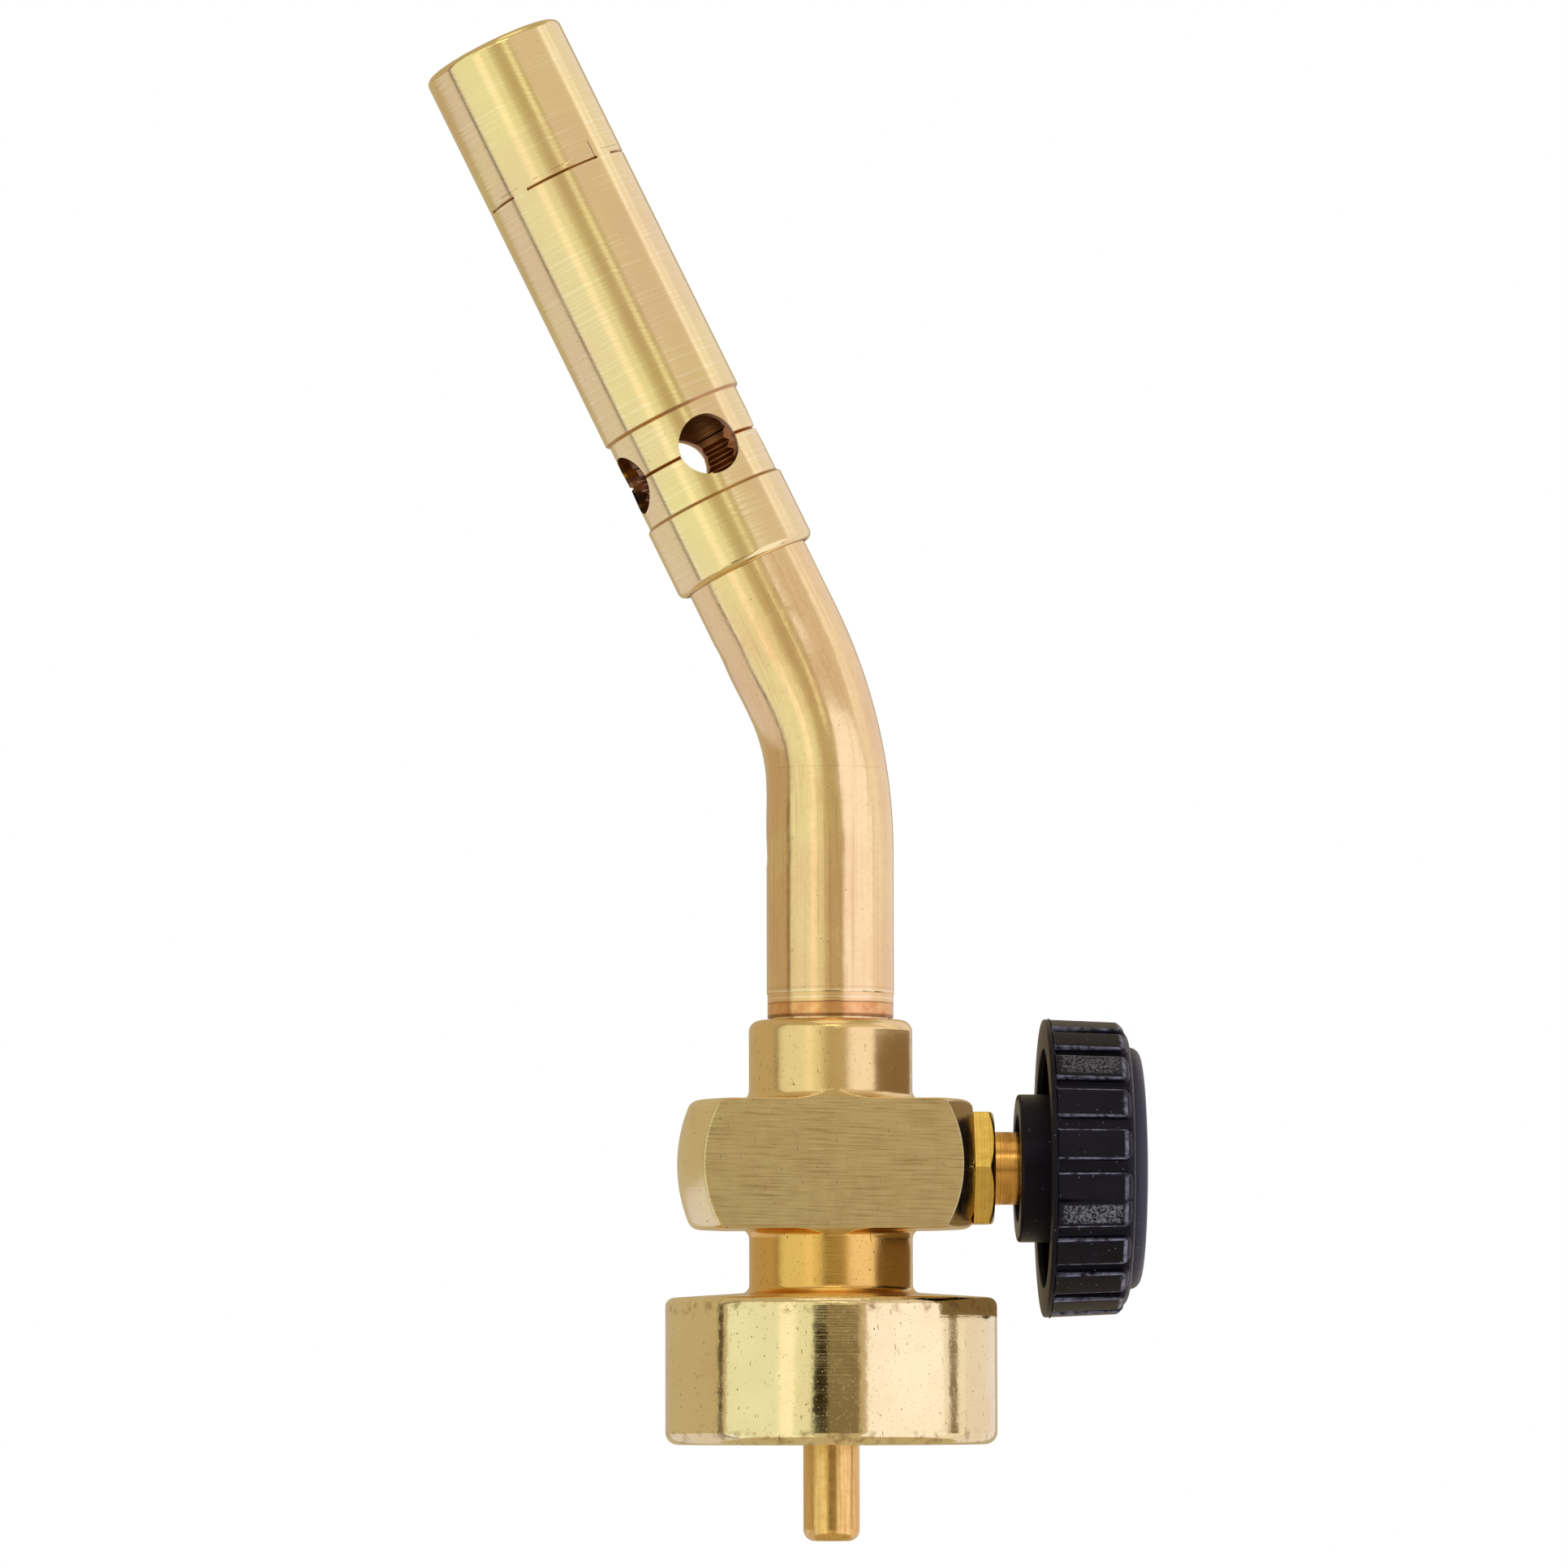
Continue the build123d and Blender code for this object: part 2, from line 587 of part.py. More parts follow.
def valve_stem():
    """Screwed needle stem: nose, thread, seal collars, plain shaft and the knob's flatted spindle."""
    stem = rod(STEM_NOSE_R, STEM_NOSE_X, STEM_THREAD_START_X)
    stem += rod(STEM_THREAD_R, STEM_THREAD_START_X, STEM_THREAD_END_X)
    stem += rod(STEM_THREAD_R - STEM_THREAD_DEPTH, STEM_THREAD_END_X, STEM_SEAL_BACK_X)
    stem += rod(STEM_COLLAR_R, STEM_SEAL_BACK_X - STEM_COLLAR_T, STEM_SEAL_BACK_X)
    stem += rod(STEM_GROOVE_R, STEM_SEAL_BACK_X, STEM_SEAL_FRONT_X)
    stem += rod(STEM_COLLAR_R, STEM_SEAL_FRONT_X, STEM_COLLAR_END_X)
    stem += rod(STEM_R, STEM_COLLAR_END_X, KNOB_BACK_X)
    stem += flatted_rod(SPINDLE_R, SPINDLE_FLAT, KNOB_BACK_X, SPINDLE_END_X)
    for ring in stem_thread_rings():
        stem -= ring
    stem -= rod(TIP_SHANK_R + SLIP_CLEARANCE, STEM_NOSE_X - PAST, STEM_NOSE_X + TIP_SHANK_L)
    screw_floor = WASHER_BACK_X + WASHER_T - SCREW_L - SCREW_END_GAP
    return along_stem(stem - rod(SCREW_R, screw_floor, SPINDLE_END_X + PAST))


def stem_tip():
    """Soft cone that shuts the orifice. Its shank turns freely in the stem's nose."""
    land = STEM_NOSE_X - RUN_CLEARANCE
    shoulder = land - TIP_LAND_L
    seat_point = SEAT_X + SEAT_GAP  # where the closed cone is as wide as the orifice
    slope = (TIP_CONE_R - ORIFICE_R + SEAT_GAP / 2) / (shoulder - seat_point)
    shank_end = STEM_NOSE_X + TIP_SHANK_L - RUN_CLEARANCE
    return along_stem(
        turned(
            [
                (0, shoulder - TIP_CONE_L),
                (TIP_CONE_R - slope * TIP_CONE_L, shoulder - TIP_CONE_L),
                (TIP_CONE_R, shoulder),
                (TIP_CONE_R, land),
                (TIP_SHANK_R, land),
                (TIP_SHANK_R, shank_end),
                (0, shank_end),
            ]
        )
    )


def stem_o_ring():
    """Ring pressed flat where it meets the sides of its groove."""
    cord_r = (GLAND_BORE_R - RUN_CLEARANCE - STEM_GROOVE_R) / 2
    centre = STEM_SEAL_BACK_X + SEAL_W / 2
    half = SEAL_W / 2 - SLIP_CLEARANCE
    ring = Pos(0, 0, centre) * Torus(STEM_GROOVE_R + cord_r, cord_r)
    return along_stem(ring & pipe(GLAND_BORE_R, STEM_GROOVE_R, centre - half, centre + half))


def backup_ring():
    start = STEM_SEAL_FRONT_X - BACKUP_T
    return along_stem(
        pipe(GLAND_BORE_R - RUN_CLEARANCE, STEM_GROOVE_R, start, STEM_SEAL_FRONT_X)
    )


# ---- Knob ----


def rib_angles():
    """Ribs run in two equal groups. Two ribs stand close together where the groups meet."""
    step = (180 - SEAM_PITCH) / (RIB_COUNT_PER_HALF - 1)
    return [
        SEAM_ANGLE + half + SEAM_PITCH / 2 + rib * step
        for half in (0, 180)
        for rib in range(RIB_COUNT_PER_HALF)
    ]


def knob_rib():
    """One grip rib, standing on the drum towards its own -Y."""
    start, end = KNOB_BACK_X, KNOB_FRONT_X - DRUM_EDGE_R / 2
    depth = RIB_H + RIB_ROOT
    width = 2 * KNOB_R * sin(radians(RIB_ANGLE / 2))
    block = Pos(0, -(KNOB_R - depth / 2), (start + end) / 2) * Box(width, depth, end - start)
    front_corners = [e for e in block.edges().filter_by(Axis.Y) if e.center().Z > end - 1e-3]
    block = fillet(front_corners, RIB_CORNER_R)
    front_r = KNOB_R - KNOB_DRAFT
    limit = turned(
        [
            (0, start),
            (KNOB_R, start),
            (front_r, end - RIB_FRONT_EDGE),
            (front_r - RIB_FRONT_EDGE, end),
            (0, end),
        ]
    )
    return block & limit


def knob_drum():
    """The wheel's outside: a tapered drum with a thin lip at its back, and the grip ribs."""
    front_r = DRUM_R - KNOB_DRAFT
    drum = turned([(0, KNOB_BACK_X), (DRUM_R, KNOB_BACK_X), (front_r, KNOB_FRONT_X), (0, KNOB_FRONT_X)])
    drum = round_edges(drum, DRUM_EDGE_R, circle_at(KNOB_FRONT_X, front_r))
    drum += rod(KNOB_R, KNOB_BACK_X, KNOB_BACK_X + KNOB_LIP_T)
    rib = knob_rib()
    for angle in rib_angles():
        drum += Rot(0, 0, angle) * rib
    seam_y = -(KNOB_R - SEAM_DEPTH + PAST / 2)
    seam = Pos(0, seam_y, KNOB_BACK_X + KNOB_LIP_T + KNOB_T / 2) * Box(SEAM_W, PAST, KNOB_T)
    for half in (0, 180):
        drum -= Rot(0, 0, SEAM_ANGLE + half) * seam
    return drum


def knob_stiffeners():
    """Flat ribs inside the hollow back, from the hub out to the rim."""
    start = KNOB_BACK_X + STIFFENER_SETBACK
    plate = Pos((HUB_R + RIM_INNER_R) / 2, 0, (start + WEB_BACK_X) / 2) * Box(
        RIM_INNER_R - HUB_R + PAST, STIFFENER_T, WEB_BACK_X - start
    )
    return [Rot(0, 0, 360 * number / STIFFENERS) * plate for number in range(STIFFENERS)]


def knob():
    """Fluted wheel: drum, rim, web, hub and the bore for the flatted spindle."""
    wheel = knob_drum()
    wheel -= rod(RIM_INNER_R, KNOB_BACK_X - PAST, WEB_BACK_X)
    wheel -= rod(CAP_SEAT_R, CAP_SEAT_X, KNOB_FRONT_X + PAST)
    hub = rod(HUB_R, HUB_BACK_X, WEB_BACK_X + WEB_T / 2)
    wheel += round_edges(hub, HUB_EDGE_R, circle_at(HUB_BACK_X, HUB_R))
    for plate in knob_stiffeners():
        wheel += plate
    wheel -= rod(HUB_RECESS_R, HUB_BACK_X - PAST, KNOB_BACK_X)
    wheel -= rod(WASHER_R + WASHER_ROOM, WASHER_BACK_X, KNOB_FRONT_X)
    bore_r, flat = SPINDLE_R + SLIP_CLEARANCE, SPINDLE_FLAT + SLIP_CLEARANCE
    return along_stem(wheel - flatted_rod(bore_r, flat, KNOB_BACK_X - PAST, WASHER_BACK_X + PAST))


def knob_cap():
    """Domed cover that snaps into the front of the knob over its screw."""
    top_x = KNOB_FRONT_X + CAP_RISE
    edge_x = top_x - CAP_CROWN
    crown_r = (CAP_R**2 + CAP_CROWN**2) / (2 * CAP_CROWN)
    outline = Polyline((0, KNOB_FRONT_X), (CAP_R, KNOB_FRONT_X), (CAP_R, edge_x))
    outline += RadiusArc((CAP_R, edge_x), (0, top_x), -crown_r)
    outline += Line((0, top_x), (0, KNOB_FRONT_X))
    disc = revolve(Plane.XZ * make_face(outline), Axis.Z, 360)
    disc = round_edges(disc, CAP_EDGE_R, circle_at(edge_x, CAP_R))
    spigot_r = CAP_SEAT_R - SLIP_CLEARANCE
    spigot_x = CAP_SEAT_X + SLIP_CLEARANCE
    return along_stem(disc + pipe(spigot_r, spigot_r - CAP_SPIGOT_T, spigot_x, KNOB_FRONT_X))


def knob_washer():
    return along_stem(pipe(WASHER_R, SCREW_R, WASHER_BACK_X, WASHER_BACK_X + WASHER_T))


def knob_screw():
    """Slotted cheese-head screw into the stem's end."""
    head_x = WASHER_BACK_X + WASHER_T
    screw = rod(SCREW_R, head_x - SCREW_L, head_x)
    screw += rod(SCREW_HEAD_R, head_x, head_x + SCREW_HEAD_H)
    slot_x = head_x + SCREW_HEAD_H - SCREW_SLOT_DEPTH / 2
    slot = Pos(0, 0, slot_x) * Box(3 * SCREW_HEAD_R, SCREW_SLOT_W, SCREW_SLOT_DEPTH)
    return along_stem(screw - slot)


# ---- Gas tube ----


def bend_side(side, radius, point, direction):
    """Where a line from the bend's middle meets one side of the tube in the plane of the bend.

    Each side is a straight, an arc of its own radius and a straight. side is 1 for the outer side
    of the bend and -1 for the inner one.
    """
    corner_z = BEND_Z + side * TUBE_R * BEND_TAN
    centre = (side * TUBE_R - radius, corner_z - radius * BEND_TAN)
    away = (point[0] - centre[0], point[1] - centre[1])
    along = away[0] * direction[0] + away[1] * direction[1]
    reach = -along + sqrt(along**2 - away[0] ** 2 - away[1] ** 2 + radius**2)
    hit = (away[0] + reach * direction[0], away[1] + reach * direction[1])
    angle = degrees(atan2(hit[1], hit[0]))
    if angle < 0:
        return (side * TUBE_R - point[0]) / direction[0]
    if angle > BEND_ANGLE:
        normal = (cos(radians(BEND_ANGLE)), sin(radians(BEND_ANGLE)))
        off = point[0] * normal[0] + (point[1] - BEND_Z) * normal[1]
        return (side * TUBE_R - off) / (direction[0] * normal[0] + direction[1] * normal[1])
    return reach


def bend_sections(wall):
    """Ovals through the bend, flattened where the outer wall pulls in, less a wall thickness."""
    middle_r = BEND_OUTER_R + BEND_LEAD
    start_z = BEND_Z - middle_r * BEND_TAN
    sections = []
    for step in range(BEND_SECTIONS):
        angle = radians(BEND_ANGLE) * step / (BEND_SECTIONS - 1)
        direction = (cos(angle), sin(angle))
        point = (middle_r * (cos(angle) - 1), start_z + middle_r * sin(angle))
        outer = bend_side(1, BEND_OUTER_R, point, direction)
        inner = bend_side(-1, BEND_INNER_R, point, direction)
        half = (outer - inner) / 2
        shift = (outer + inner) / 2
        plane = Plane(
            origin=(point[0] + shift * direction[0], 0, point[1] + shift * direction[1]),
            x_dir=(direction[0], 0, direction[1]),
            z_dir=(-direction[1], 0, direction[0]),
        )
        sections.append(plane * Ellipse(half - wall, 2 * TUBE_R - half - wall))
    return sections, start_z


def gas_tube():
    """Bent tube from the valve body to the burner, necked down where it enters the body."""
    outer, start_z = bend_sections(0)
    inner, _ = bend_sections(TUBE_WALL)
    bend = loft(outer) - loft(inner)
    tube = pipe(TUBE_END_R, TUBE_BORE_R, SOCKET_FLOOR_Z + SLIP_CLEARANCE, TUBE_SHOULDER_Z)
    tube += pipe(TUBE_R, TUBE_BORE_R, TUBE_SHOULDER_Z, start_z)
    upper_start = BEND_Z - start_z - BURNER_START
    upper = along_burner(pipe(TUBE_R, TUBE_BORE_R, upper_start, TUBE_SEAT_DEPTH))
    return tube + bend + upper


def braze_ring():
    """Copper-coloured band of brazing metal round the necked end of the tube."""
    return pipe(BAND_R, TUBE_END_R, BAND_Z, BAND_Z + BAND_H)


# ---- Burner ----


def burner_blank():
    """The turned outside and stepped bore of the burner tube."""
    holder_end = HOLDER_AT + HOLDER_T
    return turned(
        [
            (FOOT_BORE_R, 0),
            (BURNER_R, 0),
            (BURNER_R, AIR_BAND_START),
            (AIR_BAND_R, AIR_BAND_START + AIR_BAND_STEP),
            (AIR_BAND_R, SCRIBE_AT - SCRIBE_W / 2),
            (AIR_BAND_R - SCRIBE_DEPTH, SCRIBE_AT),
            (AIR_BAND_R, SCRIBE_AT + SCRIBE_W / 2),
            (AIR_BAND_R, AIR_BAND_END - AIR_BAND_STEP),
            (BURNER_R, AIR_BAND_END),
            (BURNER_R, BURNER_L),
            (MOUTH_BORE_R, BURNER_L),
            (MOUTH_BORE_R, holder_end),
            (HOLDER_SEAT_R, holder_end),
            (HOLDER_SEAT_R, HOLDER_AT),
            (MIX_BORE_R, HOLDER_AT),
            (MIX_BORE_R, BURNER_THREAD_END + 2 * BURNER_THREAD_STEP),
            (BURNER_THREAD_R, BURNER_THREAD_END + BURNER_THREAD_STEP),
            (BURNER_THREAD_R, TUBE_SEAT_DEPTH),
            (FOOT_BORE_R, TUBE_SEAT_DEPTH),
        ]
    )


def crimp_marks():
    """Short roller marks that pinch the tube onto the flame holder."""
    mark = make_face(
        Polyline(
            (BURNER_R + LAP, CRIMP_AT - CRIMP_W / 2),
            (BURNER_R, CRIMP_AT - CRIMP_W / 2),
            (BURNER_R - CRIMP_DEPTH, CRIMP_AT),
            (BURNER_R, CRIMP_AT + CRIMP_W / 2),
            (BURNER_R + LAP, CRIMP_AT + CRIMP_W / 2),
            close=True,
        )
    )
    return [
        Rot(0, 0, start - 90) * revolve(Plane.XZ * mark, Axis.Z, arc)
        for start, arc in zip(CRIMP_STARTS, CRIMP_ARCS)
    ]


def air_hole(number):
    """One radial air hole. The first faces the burner's front, turned a little towards +X."""
    hole = Pos(0, 0, SCRIBE_AT) * Rot(90, 0, 0) * Cylinder(
        AIR_HOLE_R, 2 * BURNER_R, align=(Align.CENTER, Align.CENTER, Align.MIN)
    )
    return Rot(0, 0, AIR_HOLE_TURN + 360 * number / AIR_HOLES) * hole


def burn_tube():
    """Burner tube: foot over the gas tube, air band with its holes, barrel and mouth."""
    tube = burner_blank()
    tube = round_edges(tube, FOOT_EDGE_R, circle_at(0, BURNER_R))
    tube = round_edges(tube, MOUTH_EDGE_R, circle_at(BURNER_L, BURNER_R))
    thread_start = TUBE_SEAT_DEPTH + BURNER_THREAD_START
    root_r = BURNER_THREAD_R + BURNER_THREAD_DEPTH
    cuts = ring_thread(BURNER_THREAD_R, root_r, thread_start, BURNER_THREAD_END, BURNER_THREAD_PITCH)
    cuts += crimp_marks()
    cuts += [air_hole(number) for number in range(AIR_HOLES)]
    for cut in cuts:
        tube -= cut
    return along_burner(tube)


def jet_holder():
    """Plug in the end of the gas tube that carries the jet."""
    plug = rod(JET_SHANK_R, JET_FOOT_AT, TUBE_SEAT_DEPTH)
    plug += rod(JET_FLANGE_R, TUBE_SEAT_DEPTH, JET_FLANGE_END)
    plug += rod(JET_NOSE_R, JET_FLANGE_END, JET_NOSE_END)
    plug -= rod(JET_ROOM_R, JET_FOOT_AT - PAST, JET_FOOT_AT + JET_ROOM_L)
    return along_burner(plug - rod(JET_R, JET_FOOT_AT, JET_NOSE_END + PAST))


def jet():
    """Brass nipple with the fine hole in its end face."""
    foot = JET_END - JET_L
    nipple = rod(JET_R, foot, JET_END)
    nipple -= rod(JET_R - JET_WALL, foot - PAST, JET_END - JET_FACE_T)
    return along_burner(nipple - rod(JET_HOLE_R, foot, JET_END + PAST))


def jet_filter():
    low = JET_FOOT_AT + JET_ROOM_L - JET_FILTER_T - SLIP_CLEARANCE
    return along_burner(rod(JET_ROOM_R - SLIP_CLEARANCE, low, low + JET_FILTER_T))


def flame_holder():
    """Slotted disc crimped inside the burner that anchors the flame."""
    disc = pipe(HOLDER_SEAT_R - SLIP_CLEARANCE, HOLDER_BORE_R, HOLDER_AT, HOLDER_AT + HOLDER_T)
    slot_foot = HOLDER_BORE_R + HOLDER_RING_T
    reach = 2 * HOLDER_SEAT_R
    slot = Pos(slot_foot + reach / 2, 0, HOLDER_AT + HOLDER_T / 2) * Box(
        reach, HOLDER_SLOT_W, HOLDER_T
    )
    for number in range(HOLDER_SLOTS):
        disc -= Rot(0, 0, 360 * number / HOLDER_SLOTS) * slot
    return along_burner(disc)


PIECES = [
    valve_body,
    inlet_probe,
    inlet_seal,
    probe_gasket,
    inlet_filter,
    gland_nut,
    valve_stem,
    stem_tip,
    stem_o_ring,
    backup_ring,
    knob,
    knob_cap,
    knob_washer,
    knob_screw,
    gas_tube,
    braze_ring,
    burn_tube,
    jet_holder,
    jet,
    jet_filter,
    flame_holder,
]


def main():
    os.makedirs("parts", exist_ok=True)
    for piece in PIECES:
        export_step(piece(), f"parts/{piece.__name__}.step")


main()
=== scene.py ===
# %% [markdown]
# # A hand torch head in brass
#
# The object is a gas torch head that screws onto a small gas cylinder: a threaded collar, a valve
# barrel with a black knob on its side, a bent tube, and a burner tube with air holes. The finished
# CAD model is loaded first as a fixed frame. Every finish and every rounded copy below is fitted
# to it.

# %% The CAD model as the frame
import json
from math import atan, cos, pi, radians, sin, tan

import bpy
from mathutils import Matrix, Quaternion, Vector

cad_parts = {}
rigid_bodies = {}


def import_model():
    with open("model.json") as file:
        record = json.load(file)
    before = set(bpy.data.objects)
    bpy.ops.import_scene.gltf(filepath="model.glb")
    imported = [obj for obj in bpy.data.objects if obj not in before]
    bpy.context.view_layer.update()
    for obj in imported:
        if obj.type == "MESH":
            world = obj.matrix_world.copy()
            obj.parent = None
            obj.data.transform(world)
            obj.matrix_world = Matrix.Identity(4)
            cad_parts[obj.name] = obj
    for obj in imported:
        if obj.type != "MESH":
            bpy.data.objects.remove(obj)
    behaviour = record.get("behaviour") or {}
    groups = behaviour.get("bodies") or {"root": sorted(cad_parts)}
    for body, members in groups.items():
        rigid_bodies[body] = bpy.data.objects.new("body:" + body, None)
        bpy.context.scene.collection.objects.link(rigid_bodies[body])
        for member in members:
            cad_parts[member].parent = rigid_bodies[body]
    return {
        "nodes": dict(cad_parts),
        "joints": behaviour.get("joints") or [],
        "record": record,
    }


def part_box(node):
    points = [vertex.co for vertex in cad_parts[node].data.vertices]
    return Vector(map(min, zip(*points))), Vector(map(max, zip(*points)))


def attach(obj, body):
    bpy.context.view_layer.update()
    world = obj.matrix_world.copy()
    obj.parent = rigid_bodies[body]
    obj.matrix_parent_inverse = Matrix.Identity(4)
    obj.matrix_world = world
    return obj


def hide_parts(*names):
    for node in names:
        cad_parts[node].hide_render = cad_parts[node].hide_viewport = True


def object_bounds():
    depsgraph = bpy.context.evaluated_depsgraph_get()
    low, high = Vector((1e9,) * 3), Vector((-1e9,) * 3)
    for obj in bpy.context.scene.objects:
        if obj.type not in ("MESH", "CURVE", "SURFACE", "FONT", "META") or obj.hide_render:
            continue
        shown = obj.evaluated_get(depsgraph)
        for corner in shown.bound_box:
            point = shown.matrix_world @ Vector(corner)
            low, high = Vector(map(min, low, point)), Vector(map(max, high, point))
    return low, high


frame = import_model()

NODES = frame["nodes"]
CAD_LOW, CAD_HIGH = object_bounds()
MM = 0.001
print("CAD box in mm:", [round(v / MM, 2) for v in (*CAD_LOW, *CAD_HIGH)])

# %% [markdown]
# ## Sizes read from the frame
#
# A pattern such as turning lines has to follow the axis that the piece was turned on. The collar
# and valve barrel are turned on Z. The burner leans in the XZ plane, so its axis is worked out
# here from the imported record's flame outlet mount, which states where its mouth is and which way
# it points. The stem's axis comes from the knob's joint.

# %% Axes and heights
MOUNTS = {mount["name"]: mount for mount in frame["record"]["mounts"]}
JOINTS = {joint["name"]: joint for joint in frame["joints"]}
MOUTH = Vector(MOUNTS["flame_outlet"]["pos_m"])
BURNER_AXIS = Vector(MOUNTS["flame_outlet"]["axis"]).normalized()
BURNER_R = MOUNTS["burner_barrel"]["dims"]["r_mm"] * MM
BURNER_BORE_R = MOUNTS["flame_outlet"]["dims"]["r_mm"] * MM
LEAN = atan(-BURNER_AXIS.x / BURNER_AXIS.z)
BEND_Z = MOUTH.z + MOUTH.x / tan(LEAN)
STEM_Z = JOINTS["knob_turn"]["pos_m"][2]
FLAT_Y = abs(MOUNTS["wrench_flat_front"]["pos_m"][1])
FLAT_Z = MOUNTS["wrench_flat_front"]["pos_m"][2]
BAND_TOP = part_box("braze_ring")[1].z
BODY_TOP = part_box("valve_body")[1].z
print(f"burner leans {LEAN * 180 / pi:.1f} degrees, stem at {STEM_Z / MM:.1f} mm")

# %% [markdown]
# ## Camera
#
# A long lens a little below the middle of the object, looking slightly up, keeps the collar and
# the burner at nearly the same scale. The place is given as a distance and two angles from the
# middle of the CAD box, so it follows the model if a size changes.

# %% Camera
CAMERA_DISTANCE = 0.82
CAMERA_AZIMUTH = radians(-2.2)
CAMERA_ELEVATION = radians(-4.1)
CAMERA_ROLL = radians(-0.11)
VIEW_WIDTH = 0.1509  # how much of the world the frame spans at the object
SENSOR = 36.0
AIM_SHIFT = Vector((-0.15 * MM, 0, -0.7 * MM))  # from the middle of the CAD box


def look_from(azimuth, elevation):
    """The direction from the object to a viewer. Azimuth 0 is the front, -Y."""
    return Vector((sin(azimuth) * cos(elevation), -cos(azimuth) * cos(elevation), sin(elevation)))


aim = (CAD_LOW + CAD_HIGH) / 2 + AIM_SHIFT
towards_camera = look_from(CAMERA_AZIMUTH, CAMERA_ELEVATION)
camera_data = bpy.data.cameras.new("camera")
camera_data.sensor_width = SENSOR
camera_data.lens = SENSOR * CAMERA_DISTANCE / VIEW_WIDTH
camera_data.clip_start = 0.05
camera_data.clip_end = 20
camera = bpy.data.objects.new("camera", camera_data)
camera.location = aim + towards_camera * CAMERA_DISTANCE
camera.rotation_mode = "QUATERNION"
level = (-towards_camera).to_track_quat("-Z", "Y")
camera.rotation_quaternion = level @ Quaternion((0, 0, 1), CAMERA_ROLL)
bpy.context.scene.collection.objects.link(camera)
bpy.context.scene.camera = camera
print(f"lens {camera_data.lens:.0f} mm")

# %% [markdown]
# ## Colour and nodes
#
# Colours are written as sRGB hex values, the way a colour picker shows them, and turned to the
# linear values that shaders use. One small function adds a shader node: the dictionary holds what
# goes into its sockets, either a plain value or another node, and the rest are its own settings.

# %% Helpers for colours and nodes
bpy.context.scene.view_settings.view_transform = "Standard"


def linear(hex_colour):
    """An sRGB hex colour as linear red, green, blue and alpha."""
    channels = [int(hex_colour[i : i + 2], 16) / 255 for i in (1, 3, 5)]
    light = [c / 12.92 if c <= 0.04045 else ((c + 0.055) / 1.055) ** 2.4 for c in channels]
    return (*light, 1.0)


def add(tree, kind, sockets=None, **settings):
    """Adds a node. A socket takes a value, a node's first output, or any output socket."""
    node = tree.nodes.new("ShaderNode" + kind)
    for name, value in settings.items():
        setattr(node, name, value)
    for name, value in (sockets or {}).items():
        if isinstance(value, bpy.types.Node):
            value = value.outputs[0]
        if isinstance(value, bpy.types.NodeSocket):
            tree.links.new(value, node.inputs[name])
        else:
            node.inputs[name].default_value = value
    return node


print("brass yellow in linear light:", [round(c, 3) for c in linear("#F8E8B7")])

# %% [markdown]
# ## Studio
#
# Polished brass shows hardly any shape of its own: it shows the room. What makes a round bar look
# round here is the set of tall soft boxes around it, each seen as a bright stripe, and the darker
# gaps between them. A surface that faces p degrees off the camera mirrors what stands 2p degrees
# round, so each box is placed by the angle of its stripe. Cycles adds an area light to the room
# behind it, so each box only holds the light that it adds.

# %% Room and floor
ROOM_R = 0.75
FLOOR_DROP = 0.6
FLOOR_R = 6.0
ROOM_COLOUR = "#C3B496"  # what reflections see where there is no box
PAPER_GLOW = 0.35

world = bpy.data.worlds.new("studio")
bpy.context.scene.world = world
world.use_nodes = True
sky = world.node_tree
sky.nodes.clear()
seen = add(sky, "LightPath")
room_choice = {0: seen.outputs["Is Glossy Ray"], 1: linear("#FFFFFF"), 2: linear(ROOM_COLOUR)}
mirrored = add(sky, "MixRGB", room_choice)
room = add(sky, "Background", {"Color": mirrored, "Strength": 1.0})
add(sky, "OutputWorld", {"Surface": room})

floor_paint = bpy.data.materials.new("white_paper")
floor_paint.use_nodes = True
paper = floor_paint.node_tree
paper.nodes.clear()
paper_surface = add(paper, "BsdfDiffuse", {"Color": linear("#FFFFFF")})
paper_glow = add(paper, "Emission", {"Color": linear("#FFFFFF"), "Strength": PAPER_GLOW})
paper_sum = add(paper, "AddShader", {0: paper_surface, 1: paper_glow})
add(paper, "OutputMaterial", {"Surface": paper_sum})

bpy.ops.object.select_all(action="DESELECT")
bpy.ops.mesh.primitive_circle_add(
    vertices=96, radius=FLOOR_R, fill_type="NGON", location=(0, 0, CAD_LOW.z - FLOOR_DROP)
)
floor = bpy.context.object
floor.name = "floor"
floor.data.materials.append(floor_paint)
floor.visible_glossy = False
print(f"floor {FLOOR_DROP} m below the torch")

# %% Soft boxes
SOFT_BOXES = [
    # name, from and to azimuth, lowest and highest elevation, colour, brightness
    ("left_box", -79, -38, -42, 36, "#DCFCFF", 0.46),
    ("left_streak", -38, -27, -42, 36, "#F4FCFF", 0.62),
    ("left_inner_box", -27, -14, -42, 36, "#E4FFF4", 0.40),
    ("left_fade", -14, -7, -42, 36, "#E4FFF4", 0.13),
    ("upper_streak", 7, 14, 8, 34, "#F0FFF4", 0.45),
    ("right_box", 22, 82, -42, 19, "#CDD5FF", 0.90),
    ("right_rear_box", 82, 104, -42, 50, "#D6DCFF", 0.60),
    ("right_back_box", 104, 156, -42, 50, "#CBD2FF", 0.54),
    ("right_upper_box", 22, 82, 19, 50, "#DDD6FF", 0.25),
    ("low_left_box", -156, -79, -52, -9, "#B4C4FF", 0.42),
    ("front_top_box", -8, 10, 32, 39, "#FFF6E0", 2.60),
    ("overhead_box", 0, 0, 58, 90, "#FFFDF8", 0.50),
]


